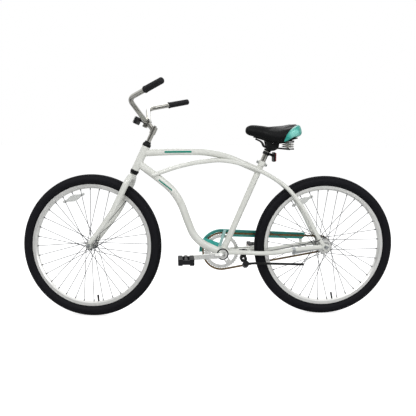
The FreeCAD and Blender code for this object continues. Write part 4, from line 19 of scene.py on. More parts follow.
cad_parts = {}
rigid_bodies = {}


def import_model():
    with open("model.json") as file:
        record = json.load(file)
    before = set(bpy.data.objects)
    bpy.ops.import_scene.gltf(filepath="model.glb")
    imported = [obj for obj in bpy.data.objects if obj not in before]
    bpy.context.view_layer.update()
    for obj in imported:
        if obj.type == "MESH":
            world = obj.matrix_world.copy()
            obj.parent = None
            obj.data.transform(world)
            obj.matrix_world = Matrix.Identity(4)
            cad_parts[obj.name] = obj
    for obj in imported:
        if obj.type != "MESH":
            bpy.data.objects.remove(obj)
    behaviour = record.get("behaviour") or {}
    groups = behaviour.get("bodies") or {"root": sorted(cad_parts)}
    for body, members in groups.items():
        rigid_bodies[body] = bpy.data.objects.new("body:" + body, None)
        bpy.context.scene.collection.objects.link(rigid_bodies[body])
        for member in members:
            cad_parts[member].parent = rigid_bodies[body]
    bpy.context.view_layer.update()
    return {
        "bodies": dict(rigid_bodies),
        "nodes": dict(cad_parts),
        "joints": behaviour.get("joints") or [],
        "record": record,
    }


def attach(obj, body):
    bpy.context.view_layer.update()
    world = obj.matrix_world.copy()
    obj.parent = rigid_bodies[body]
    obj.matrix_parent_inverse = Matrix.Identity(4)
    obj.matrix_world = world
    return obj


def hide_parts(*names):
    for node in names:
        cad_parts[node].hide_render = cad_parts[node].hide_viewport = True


LOG = logging.getLogger("cruiser")
MM = 0.001
FULL_TURN = 2 * math.pi
# Points of a new mesh that lie closer than this are one point
MERGE_GAP = 0.02 * MM
# Shares of a noise between which the colour drifts, and between which the gloss does
SPOT_BAND = (0.35, 0.65)
GLOSS_BAND = (0.3, 0.7)
COAT_ROUGHNESS = 0.08
# Shares of a leather cell over which its edge rises, and over which its crease is painted dark as shade
CELL_RISE = 0.28
SHADED_CREASE_WIDTH = 0.12
# Share of the pale radius that is fully pale
PALE_CORE = 0.35

Settings = dict[str, Any]
Point = tuple[float, float, float]
Band = tuple[float, float]


def linear(code: str) -> tuple[float, float, float, float]:
    """Turn an sRGB hex colour into linear values.

    Args:
        code: six hex digits with a leading hash.

    Returns:
        Linear red, green, blue and an alpha of 1.
    """
    parts = [int(code[place : place + 2], 16) / 255 for place in (1, 3, 5)]
    return (*[c / 12.92 if c <= 0.04045 else ((c + 0.055) / 1.055) ** 2.4 for c in parts], 1.0)


def metres(point: Sequence[float]) -> Vector:
    """Turn a point in millimetres into a vector in metres."""
    return Vector(point) * MM


def add_node(
    tree: bpy.types.NodeTree, kind: str, settings: Optional[Settings] = None, links: Optional[Settings] = None
) -> bpy.types.Node:
    """Add one shader node, with its settings and the links into it.

    Args:
        tree: node tree that gets the node.
        kind: Blender's name of the node type.
        settings: values by property name, or by input name or index.
        links: output sockets by the name or index of the input they feed.

    Returns:
        The new node.
    """
    node = tree.nodes.new(kind)
    for key, value in (settings or {}).items():
        if isinstance(key, str) and hasattr(node, key):
            setattr(node, key, value)
        else:
            node.inputs[key].default_value = value
    for key, socket in (links or {}).items():
        tree.links.new(socket, node.inputs[key])
    return node


class Surface(Enum):
    """What a finish shows from close by."""

    SPRAYED = "sprayed"
    PLATED = "plated"
    HOOP_BRUSHED = "hoop_brushed"
    MOULDED = "moulded"
    GRAINED = "grained"
    PRISMS = "prisms"
    OILED = "oiled"


@dataclass(frozen=True)
class Finish:
    """One real material and how it was finished.

    The colour drifts towards the tone over spots of drift size. The grain is the size of the
    smallest feature and the relief is its depth, both in millimetres. A finish with a pale colour is
    paler round a place in the X and Z of the whole bicycle, out to a radius: on the teal vinyl this is
    a painted highlight, on the straps the white part of their two-tone paint.
    """

    name: str
    colour: str
    tone: str
    roughness: tuple[float, float]
    surface: Surface
    grain: float
    relief: float
    drift: float = 60.0
    metallic: float = 0.0
    ior: float = 1.5
    coat: float = 0.0
    transmission: float = 0.0
    specular: float = 0.5
    pale: str = ""
    pale_place: tuple[float, float] = (0.0, 0.0)
    pale_radius: float = 0.0

    def material(self, hub: Optional[Matrix] = None) -> bpy.types.Material:
        """Make the node material.

        Args:
            hub: place of a wheel whose axis is its Y axis, for patterns that run round it.

        Returns:
            The finished material.
        """
        made = bpy.data.materials.new(self.name)
        made.use_nodes = True
        tree = made.node_tree
        tree.nodes.clear()
        place = add_node(tree, "ShaderNodeTexCoord").outputs["Object"]
        if hub is not None:
            turn = hub.to_3x3().inverted()
            back = add_node(
                tree,
                "ShaderNodeMapping",
                {"vector_type": "POINT", "Location": -(turn @ hub.translation), "Rotation": turn.to_euler()},
                {"Vector": place},
            )
            place = back.outputs["Vector"]
        drift = add_node(
            tree, "ShaderNodeTexNoise", {"Scale": 1 / (self.drift * MM), "Detail": 4.0}, {"Vector": place}
        )
        height, crease_shade = self.height(tree, place)
        spots = add_node(
            tree,
            "ShaderNodeMapRange",
            {"From Min": SPOT_BAND[0], "From Max": SPOT_BAND[1]},
            {"Value": drift.outputs["Fac"]},
        )
        share = spots.outputs["Result"]
        # Painted shade: the grain's creases take the darker tone
        if crease_shade is not None:
            share = add_node(
                tree, "ShaderNodeMath", {"operation": "MAXIMUM"}, {0: share, 1: crease_shade}
            ).outputs["Value"]
        colour = add_node(
            tree,
            "ShaderNodeMix",
            {"data_type": "RGBA", 6: linear(self.colour), 7: linear(self.tone)},
            {0: share},
        ).outputs[2]
        # Paler round a place: a painted highlight on the teal vinyl, the white part of the two-tone paint on
        # the straps
        if self.pale:
            colour = self.two_tone_and_painted_highlight(tree, place, colour)
        gloss = add_node(
            tree,
            "ShaderNodeMapRange",
            {
                "From Min": GLOSS_BAND[0],
                "From Max": GLOSS_BAND[1],
                "To Min": self.roughness[0],
                "To Max": self.roughness[1],
            },
            {"Value": drift.outputs["Fac"]},
        )
        bump = add_node(
            tree, "ShaderNodeBump", {"Strength": 1.0, "Distance": self.relief * MM}, {"Height": height}
        )
        shader = add_node(
            tree,
            "ShaderNodeBsdfPrincipled",
            {
                "Metallic": self.metallic,
                "IOR": self.ior,
                "Coat Weight": self.coat,
                "Coat Roughness": COAT_ROUGHNESS,
                "Transmission Weight": self.transmission,
                "Specular IOR Level": self.specular,
            },
            {
                "Base Color": colour,
                "Roughness": gloss.outputs["Result"],
                "Normal": bump.outputs["Normal"],
            },
        )
        add_node(tree, "ShaderNodeOutputMaterial", None, {"Surface": shader.outputs["BSDF"]})
        return made

    def two_tone_and_painted_highlight(
        self, tree: bpy.types.NodeTree, place: bpy.types.NodeSocket, colour: bpy.types.NodeSocket
    ) -> bpy.types.NodeSocket:
        """Pale the colour round a place: a painted highlight on the teal vinyl, and the white part of the
        straps' two-tone paint.

        Args:
            tree: node tree of the material.
            place: coordinates in metres.
            colour: colour away from that place.

        Returns:
            The mixed colour.
        """
        flat = add_node(
            tree, "ShaderNodeVectorMath", {"operation": "MULTIPLY", 1: (1.0, 0.0, 1.0)}, {0: place}
        )
        middle = metres((self.pale_place[0], 0.0, self.pale_place[1]))
        away = add_node(
            tree, "ShaderNodeVectorMath", {"operation": "DISTANCE", 1: middle}, {0: flat.outputs["Vector"]}
        )
        near = add_node(
            tree,
            "ShaderNodeMapRange",
            {
                "interpolation_type": "SMOOTHSTEP",
                "From Min": PALE_CORE * self.pale_radius * MM,
                "From Max": self.pale_radius * MM,
                "To Min": 1.0,
                "To Max": 0.0,
            },
            {"Value": away.outputs["Value"]},
        )
        mixed = add_node(
            tree,
            "ShaderNodeMix",
            {"data_type": "RGBA", 7: linear(self.pale)},
            {0: near.outputs["Result"], 6: colour},
        )
        return mixed.outputs[2]

    def height(
        self, tree: bpy.types.NodeTree, place: bpy.types.NodeSocket
    ) -> tuple[bpy.types.NodeSocket, Optional[bpy.types.NodeSocket]]:
        """Lay the surface's relief.

        Args:
            tree: node tree of the material.
            place: coordinates in metres.

        Returns:
            The height, and the mask of creases that take the darker tone as painted shade, or None.
        """
        scale = 1 / (self.grain * MM)
        if self.surface is Surface.HOOP_BRUSHED:
            parts = add_node(tree, "ShaderNodeSeparateXYZ", None, {"Vector": place})
            flat = add_node(
                tree,
                "ShaderNodeCombineXYZ",
                {"Y": 0.0},
                {"X": parts.outputs["X"], "Z": parts.outputs["Z"]},
            )
            radius = add_node(
                tree, "ShaderNodeVectorMath", {"operation": "LENGTH"}, {0: flat.outputs["Vector"]}
            )
            rings = add_node(
                tree,
                "ShaderNodeCombineXYZ",
                {"Z": 0.0},
                {"X": radius.outputs["Value"], "Y": parts.outputs["Y"]},
            )
            lines = add_node(
                tree,
                "ShaderNodeTexNoise",
                {"Scale": scale, "Detail": 2.0},
                {"Vector": rings.outputs["Vector"]},
            )
            return lines.outputs["Fac"], None
        if self.surface is Surface.GRAINED:
            cells = add_node(
                tree,
                "ShaderNodeTexVoronoi",
                {"feature": "DISTANCE_TO_EDGE", "Scale": scale, "Randomness": 1.0},
                {"Vector": place},
            )
            rise = add_node(
                tree,
                "ShaderNodeMapRange",
                {"interpolation_type": "SMOOTHSTEP", "From Min": 0.0, "From Max": CELL_RISE},
                {"Value": cells.outputs["Distance"]},
            )
            # Painted shade along the recessed creases between the cells
            crease_shade = add_node(
                tree,
                "ShaderNodeMapRange",
                {"From Min": 0.0, "From Max": SHADED_CREASE_WIDTH, "To Min": 1.0, "To Max": 0.0},
                {"Value": cells.outputs["Distance"]},
            )
            return rise.outputs["Result"], crease_shade.outputs["Result"]
        if self.surface is Surface.PRISMS:
            cells = add_node(
                tree,
                "ShaderNodeTexVoronoi",
                {"feature": "F1", "distance": "MANHATTAN", "Scale": scale, "Randomness": 0.0},
                {"Vector": place},
            )
            return cells.outputs["Distance"], None
        detail = {Surface.SPRAYED: 1.0, Surface.PLATED: 3.0, Surface.MOULDED: 5.0, Surface.OILED: 6.0}
        grain = add_node(
            tree,
            "ShaderNodeTexNoise",
            {"Scale": scale, "Detail": detail[self.surface], "Roughness": 0.55},
            {"Vector": place},
        )
        return grain.outputs["Fac"], None


# White powder coat over steel: a bright, even gloss with a faint orange peel of about 2 mm
FRAME_ENAMEL = Finish(
    "white_powder_coat", "#E3E4DE", "#DDDED7", (0.20, 0.28), Surface.SPRAYED, 2.2, 0.02, coat=0.35
)
# Teal enamel on pressed sheet steel: gloss with a slow drift of depth
GUARD_ENAMEL = Finish(
    "teal_enamel_sheet", "#3AB6AB", "#31A89E", (0.22, 0.32), Surface.SPRAYED, 2.0, 0.02, coat=0.3
)
# Satin black enamel on forged steel: dull gloss, slightly uneven
BLACK_ENAMEL = Finish(
    "satin_black_enamel",
    "#08090A",
    "#0D0E10",
    (0.34, 0.46),
    Surface.SPRAYED,
    1.6,
    0.03,
    drift=25.0,
    specular=0.22,
)
# Chrome plate on steel tube: warm grey, mirror smooth with a few handling marks
CHROME = Finish(
    "chrome_plate",
    "#BDBCB6",
    "#B1B0A9",
    (0.09, 0.17),
    Surface.PLATED,
    6.0,
    0.004,
    drift=35.0,
    metallic=1.0,
)
# Zinc plated steel: grey, softly spangled and half dull
ZINC = Finish(
    "zinc_plated_steel",
    "#B4B7B8",
    "#A9ACAE",
    (0.26, 0.34),
    Surface.PLATED,
    1.2,
    0.006,
    drift=16.0,
    metallic=1.0,
)
# Nickel plate on the forged and stamped pieces: pale, bright and softly reflecting
NICKEL = Finish(
    "nickel_plated_steel",
    "#E9E9E6",
    "#DFE0DD",
    (0.24, 0.33),
    Surface.PLATED,
    1.5,
    0.006,
    drift=22.0,
    metallic=1.0,
)
# Pale enamel on the guard's straps: teal mixed into white in front, plain white at the rear
STRAP_ENAMEL = Finish(
    "pale_enamel_strap",
    "#A9D2CE",
    "#A2CCC8",
    (0.22, 0.30),
    Surface.SPRAYED,
    2.0,
    0.02,
    coat=0.3,
    pale="#E3E4DE",
    pale_place=(-100.0, 345.0),
    pale_radius=120.0,
)
# Drawn stainless wire of the spokes: grey, with a soft gloss
SPOKE_WIRE = Finish(
    "drawn_stainless_wire",
    "#4A4D51",
    "#3E4145",
    (0.30, 0.42),
    Surface.PLATED,
    1.0,
    0.006,
    drift=12.0,
    metallic=1.0,
)
# Oiled, browned chain steel: bronze tint with darker oil film
CHAIN_STEEL = Finish(
    "browned_chain_steel",
    "#86704C",
    "#68563B",
    (0.28, 0.40),
    Surface.OILED,
    2.0,
    0.02,
    drift=12.0,
    metallic=1.0,
)
# Rolled aluminium rim: silver with brushing that runs round the hoop
RIM_ALUMINIUM = Finish(
    "brushed_aluminium_rim",
    "#F2F2EF",
    "#EBEBE8",
    (0.30, 0.42),
    Surface.HOOP_BRUSHED,
    0.9,
    0.012,
    drift=45.0,
    metallic=0.85,
)
# Moulded tyre rubber: near black, dull, with a bloom of mould powder
TYRE_RUBBER = Finish(
    "moulded_tyre_rubber",
    "#0D0D12",
    "#131318",
    (0.60, 0.74),
    Surface.MOULDED,
    1.4,
    0.05,
    drift=18.0,
    specular=0.14,
)
# Butyl tube and valve: soft black with a faint bloom
TUBE_RUBBER = Finish("butyl_rubber", "#141416", "#1C1C1E", (0.5, 0.62), Surface.MOULDED, 1.2, 0.03)
# Grip rubber: dull black with a fine moulded stipple
GRIP_RUBBER = Finish(
    "moulded_grip_rubber",
    "#101013",
    "#17171A",
    (0.50, 0.62),
    Surface.MOULDED,
    0.9,
    0.05,
    drift=14.0,
    specular=0.25,
)
# Injection moulded nylon: black with a spark-eroded texture of about 0.8 mm
BLACK_NYLON = Finish(
    "moulded_black_nylon",
    "#0A0B0C",
    "#0F1012",
    (0.40, 0.52),
    Surface.MOULDED,
    0.8,
    0.04,
    drift=20.0,
    specular=0.22,
)
# Clear acrylic reflector: pale, bright, with a grid of corner prisms behind a smooth face
CLEAR_ACRYLIC = Finish(
    "clear_prism_acrylic",
    "#E6E7E4",
    "#D9DBD8",
    (0.10, 0.18),
    Surface.PRISMS,
    3.0,
    0.35,
    ior=1.49,
    coat=0.6,
    transmission=0.2,
)
# Red acrylic reflector, moulded as the clear one
RED_ACRYLIC = Finish(
    "red_prism_acrylic",
    "#B3131B",
    "#8E0D14",
    (0.10, 0.18),
    Surface.PRISMS,
    3.0,
    0.35,
    ior=1.49,
    coat=0.6,
    transmission=0.2,
)
# Amber acrylic reflector, moulded as the clear one
AMBER_ACRYLIC = Finish(
    "amber_prism_acrylic",
    "#D98A12",
    "#B86F0A",
    (0.10, 0.18),
    Surface.PRISMS,
    2.5,
    0.3,
    ior=1.49,
    coat=0.6,
    transmission=0.2,
)
# Black vinyl over foam: fine leather grain of about 1.8 mm and a soft sheen
BLACK_VINYL = Finish(
    "grained_black_vinyl",
    "#0A0B0D",
    "#060708",
    (0.46, 0.56),
    Surface.GRAINED,
    1.8,
    0.05,
    drift=30.0,
    specular=0.14,
)
# Teal vinyl over foam: glossier than the black one, with a painted highlight that pales it round a spot over
# the corner
TEAL_VINYL = Finish(
    "grained_teal_vinyl",
    "#31AC9E",
    "#289E90",
    (0.28, 0.38),
    Surface.GRAINED,
    1.8,
    0.05,
    drift=30.0,
    pale="#86D8CC",
    pale_place=(-172.0, 860.0),
    pale_radius=32.0,
)
# Bonded polyester thread: dull black, twisted too finely to show
THREAD = Finish("bonded_thread", "#15161A", "#1D1F23", (0.6, 0.7), Surface.MOULDED, 0.6, 0.02, specular=0.2)
# Cast vinyl film on the tubes: teal, with a smooth soft gloss
TEAL_FILM = Finish("teal_vinyl_film", "#1E8F7C", "#1A8673", (0.26, 0.32), Surface.SPRAYED, 3.0, 0.006)

FINISHES: dict[str, Finish] = {
    "frame_white": FRAME_ENAMEL,
    "teal_paint": GUARD_ENAMEL,
    "black_paint": BLACK_ENAMEL,
    "chrome": CHROME,
    "steel": ZINC,
    "bronze_chain": CHAIN_STEEL,
    "rim_silver": RIM_ALUMINIUM,
    "tyre": TYRE_RUBBER,
    "tube_rubber": TUBE_RUBBER,
    "grip_rubber": GRIP_RUBBER,
    "black_plastic": BLACK_NYLON,
    "clear_lens": CLEAR_ACRYLIC,
    "red_lens": RED_ACRYLIC,
    "amber_lens": AMBER_ACRYLIC,
    "saddle_black": BLACK_VINYL,
    "saddle_teal": TEAL_VINYL,
}

# Nodes whose finish differs from the rest of their slot
NODE_FINISHES: dict[str, Finish] = {
    "bottom_bracket_cups": BLACK_ENAMEL,
    "headset_cups": BLACK_ENAMEL,
    "chainring": NICKEL,
    "crank": NICKEL,
    "front_hub": NICKEL,
    "rear_hub": NICKEL,
    "chain_guard_brackets": STRAP_ENAMEL,
}


def new_object(name: str, shape: bmesh.types.BMesh, smooth_below: float = 40.0) -> bpy.types.Object:
    """Turn a bmesh into an object at the origin.

    Args:
        name: name of the piece.
        shape: the finished bmesh, which is freed.
        smooth_below: edges that turn by more than this many degrees stay sharp.

    Returns:
        The linked object.
    """
    limit = math.radians(smooth_below)
    for face in shape.faces:
        face.smooth = True
    for edge in shape.edges:
        edge.smooth = not (edge.is_manifold and edge.calc_face_angle(0.0) > limit)
    mesh = bpy.data.meshes.new(name)
    shape.to_mesh(mesh)
    shape.free()
    piece = bpy.data.objects.new(name, mesh)
    bpy.context.scene.collection.objects.link(piece)
    return piece


def copied_mesh(nodes: Iterable[bpy.types.Object]) -> bmesh.types.BMesh:
    """Merge copies of CAD nodes into one bmesh with shared vertices.

    Args:
        nodes: objects of the CAD nodes.

    Returns:
        The merged bmesh.
    """
    shape = bmesh.new()
    for node in nodes:
        shape.from_mesh(node.data)
    bmesh.ops.remove_doubles(shape, verts=shape.verts, dist=MERGE_GAP / 2)
    return shape


def apply_modifiers(piece: bpy.types.Object) -> None:
    """Bake the live modifiers into the mesh."""
    graph = bpy.context.evaluated_depsgraph_get()
    mesh = bpy.data.meshes.new_from_object(piece.evaluated_get(graph))
    piece.modifiers.clear()
    old, piece.data = piece.data, mesh
    bpy.data.meshes.remove(old)


def smooth_step(band: Band, value: float) -> float:
    """Rise smoothly from 0 at the band's low end to 1 at its high end."""
    low, high = band
    share = min(1.0, max(0.0, (value - low) / (high - low)))
    return share * share * (3 - 2 * share)


def open_chain(shape: bmesh.types.BMesh, points: Iterable[Vector], closed: bool) -> list[bmesh.types.BMEdge]:
    """Draw a line of edges through points.

    Args:
        shape: bmesh that gets the line.
        points: places along the line, in metres.
        closed: True joins the last point to the first.

    Returns:
        The edges in order.
    """
    verts = [shape.verts.new(point) for point in points]
    pairs = list(zip(verts, verts[1:])) + ([(verts[-1], verts[0])] if closed else [])
    return [shape.edges.new(pair) for pair in pairs]


def spun(points: Iterable[Vector], axis: Point, steps: int, closed: bool) -> bmesh.types.BMesh:
    """Spin a line once round an axis through the origin.

    Args:
        points: places along the line, in metres.
        axis: direction of the axis.
        steps: number of faces round it.
        closed: True for a closed outline.

    Returns:
        The turned shape, with its seam and poles merged.
    """
    shape = bmesh.new()
    edges = open_chain(shape, points, closed)
    bmesh.ops.spin(
        shape,
        geom=edges + list(shape.verts),
        cent=(0, 0, 0),
        axis=axis,
        angle=FULL_TURN,
        steps=steps,
        use_merge=True,
    )
    bmesh.ops.remove_doubles(shape, verts=shape.verts, dist=MERGE_GAP)
    return shape


def skin_of(node: bpy.types.Object) -> BVHTree:
    """Give the search tree of a CAD node's surface."""
    shape = bmesh.new()
    shape.from_mesh(node.data)
    skin = BVHTree.FromBMesh(shape)
    shape.free()
    return skin


def stand_up(shape: bmesh.types.BMesh, place: Sequence[float], facing: Sequence[float]) -> None:
    """Turn a shape's Z axis to a direction and carry its origin to a place in millimetres."""
    turn = Vector(facing).to_track_quat("Z", "X").to_matrix().to_4x4()
    bmesh.ops.transform(shape, matrix=Matrix.Translation(metres(place)) @ turn, verts=shape.verts)


@dataclass
class Wardrobe:
    """Keeps one material for each finish, and for each wheel where the pattern runs round it."""

    made: dict[tuple[str, str], bpy.types.Material] = field(default_factory=dict)

    def pick(self, finish: Finish, wheel: str = "", hub: Optional[Matrix] = None) -> bpy.types.Material:
        """Give the material of a finish.

        Args:
            finish: the finish wanted.
            wheel: name of the wheel, or empty.
            hub: place of that wheel.

        Returns:
            The material, made on first use.
        """
        key = (finish.name, wheel)
        if key not in self.made:
            self.made[key] = finish.material(hub)
        return self.made[key]

    def dress(
        self, piece: bpy.types.Object, finish: Finish, wheel: str = "", hub: Optional[Matrix] = None
    ) -> None:
        """Put one material on a piece, in place of what it has."""
        piece.data.materials.clear()
        piece.data.materials.append(self.pick(finish, wheel, hub))


@dataclass
class Tyre:
    """Balloon tyre with rows of small tread blocks and ringed sidewalls."""

    name: str
    body: str
    hub: Matrix
    radius: float = 333.0
    width: float = 54.0
    seat: float = 276.0
    lip: float = 287.2
    bead: float = 12.0
    shoulder: float = 324.0
    tread_half: float = 20.0
    side_steps: int = 26
    ring_rise: float = 0.35
    ring_band: tuple[float, float] = (0.10, 0.62)
    ring_steps: int = 40
    bead_wall: float = 3.5
    casing: float = 5.0
    casing_half: float = 15.0
    block_rows: int = 7
    block_steps: int = 144
    block_height: float = 1.7
    block_gap: float = 0.9
    chevron: float = 0.55

    def crown(self, share: float) -> tuple[float, float]:
        """Give radius and offset on the tread arc, from -1 to 1 across it."""
        drop = self.radius - self.shoulder
        bend = (self.tread_half**2 + drop**2) / (2 * drop)
        angle = share * math.asin(self.tread_half / bend)
        return self.radius - bend * (1 - math.cos(angle)), bend * math.sin(angle)

    def sidewall(self, share: float) -> tuple[float, float]:
        """Give radius and offset on the side's arc, from the lip at 0 to the shoulder at 1."""
        low, middle, high = (
            Vector((self.lip, self.bead)),
            Vector(((self.lip + self.radius) / 2, self.width / 2)),
            Vector((self.shoulder, self.tread_half)),
        )
        first, second = middle - low, high - low
        cross = 2 * (first.x * second.y - first.y * second.x)
        along, across = first.length_squared, second.length_squared
        centre = low + Vector(
            (second.y * along - first.y * across, first.x * across - second.x * along)
        ) / cross
        bend = (low - centre).length
        start = math.atan2(*(low - centre).yx)
        end = math.atan2(*(high - centre).yx)
        angle = start + (end - start) * share
        ringed = self.ring_band[0] < share < self.ring_band[1] and round(share * self.ring_steps) % 4 < 2
        reach = bend + (self.ring_rise if ringed else 0.0)
        return centre.x + reach * math.cos(angle), centre.y + reach * math.sin(angle)

    def build(self) -> bpy.types.Object:
        """Spin the section round the axle and raise the tread blocks.

        Returns:
            The tyre, riding on its wheel.
        """
        side = [self.sidewall(step / self.side_steps) for step in range(self.side_steps)]
        crown = [self.crown(-1 + 2 * row / self.block_rows) for row in range(self.block_rows + 1)]
        groove = [(radius - self.block_height, offset) for radius, offset in crown]
        wall = self.bead - self.bead_wall
        inside = [(self.seat, self.bead), (self.seat, wall), (self.lip, wall)]
        under = self.shoulder - self.casing
        back = [(under, self.casing_half), (under, -self.casing_half)]
        outline = [(r, -o) for r, o in side] + groove + list(reversed(side))
        outline += inside + back + [(r, -o) for r, o in reversed(inside)]
        shape = spun([metres((r, o, 0)) for r, o in outline], (0, 1, 0), self.block_steps, closed=True)
        bmesh.ops.recalc_face_normals(shape, faces=shape.faces)
        self.raise_blocks(shape)
        bmesh.ops.transform(shape, matrix=self.hub, verts=shape.verts)
        piece = new_object(self.name, shape, 35.0)
        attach(piece, self.body)
        return piece

    def raise_blocks(self, shape: bmesh.types.BMesh) -> None:
        """Slant the tread's cross lines into a chevron and raise a block from every face."""
        limit = (self.shoulder - self.block_height - 0.4) * MM
        step = FULL_TURN / self.block_steps
        for vert in shape.verts:
            if math.hypot(vert.co.x, vert.co.z) > limit and abs(vert.co.y) < (self.tread_half + 0.5) * MM:
                share = abs(vert.co.y) / (self.tread_half * MM)
                vert.co = Matrix.Rotation(self.chevron * step * share, 3, "Y") @ vert.co
        blocks = []
        for face in shape.faces:
            middle = face.calc_center_median()
            far = all(math.hypot(v.co.x, v.co.z) > limit for v in face.verts)
            if far and abs(middle.y) < self.tread_half * MM:
                blocks.append(face)
        bmesh.ops.inset_individual(
            shape,
            faces=blocks,
            thickness=self.block_gap * MM,
            depth=self.block_height * MM,
            use_even_offset=True,
        )


@dataclass
class Spokes:
    """Spokes and nipples of one wheel, drawn up to the 12 gauge wire that the photograph shows."""

    wheel: str
    growth: float = 0.32

    def build(self, nodes: dict[str, bpy.types.Object]) -> bpy.types.Object:
        """Thicken a copy of the solid spokes.

        Args:
            nodes: objects of the CAD nodes.

        Returns:
            The spokes, riding on their wheel.
        """
        shape = copied_mesh([nodes[f"{self.wheel}_spokes"]])
        shape.normal_update()
        for vert, outward in [(vert, vert.normal.copy()) for vert in shape.verts]:
            vert.co += outward * self.growth * MM
        piece = new_object(f"{self.wheel}_wire_spokes", shape)
        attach(piece, f"{self.wheel}_wheel")
        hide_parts(f"{self.wheel}_spokes")
        return piece


@dataclass
class Grip:
    """Ribbed rubber grip: wide at its inner end and rounded at its outer end."""

    name: str
    end: Point
    bend: Point
    steps: int = 48
    length: float = 115.0
    radius: float = 14.0
    flare: float = 15.6
    bore: float = 11.2
    bore_depth: float = 4.0
    flare_edge: float = 1.4
    flare_end: float = 5.0
    neck_end: float = 7.0
    neck_drop: float = 1.6
    cap: float = 3.0
    cap_round: float = 7.0
    cap_steps: int = 6
    ribs: int = 20
    rib_depth: float = 1.0
    rib_room: tuple[float, float] = (9.0, 13.0)
    rib_shares: Point = (0.30, 0.48, 0.82)
    taper: float = 0.6

    def outline(self) -> list[tuple[float, float]]:
        """Give radius and place along the axis, from the bore round to the closed end."""
        start = -self.length
        line = [(self.bore, start + self.bore_depth), (self.bore, start)]
        line += [(self.flare - self.flare_edge, start), (self.flare, start + self.flare_edge)]
        line.append((self.flare, start + self.flare_end))
        line.append((self.flare - self.neck_drop, start + self.neck_end))
        first, last = start + self.rib_room[0], self.cap - self.rib_room[1]
        pitch = (last - first) / self.ribs
        foot, rise, fall = (share * pitch for share in self.rib_shares)
        for rib in range(self.ribs):
            place = first + pitch * rib
            swell = self.radius + self.taper * (1 - rib / self.ribs)
            line += [(swell - self.rib_depth, place), (swell - self.rib_depth, place + foot)]
            line += [(swell, place + rise), (swell, place + fall)]
        line.append((self.radius, last))
        for step in range(self.cap_steps + 1):
            angle = FULL_TURN / 4 * step / self.cap_steps
            inset = self.cap_round * (1 - math.cos(angle))
            line.append((self.radius - inset, self.cap - self.cap_round * (1 - math.sin(angle))))
        line.append((0.0, self.cap))
        return line

    def build(self) -> bpy.types.Object:
        """Spin the outline round the bar's end.

        Returns:
            The grip, riding on the handlebar.
        """
        shape = spun([metres((r, 0, z)) for r, z in self.outline()], (0, 0, 1), self.steps, closed=False)
        bmesh.ops.recalc_face_normals(shape, faces=shape.faces)
        stand_up(shape, self.end, (Vector(self.end) - Vector(self.bend)).normalized())
        piece = new_object(self.name, shape, 50.0)
        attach(piece, "handlebar")
        return piece


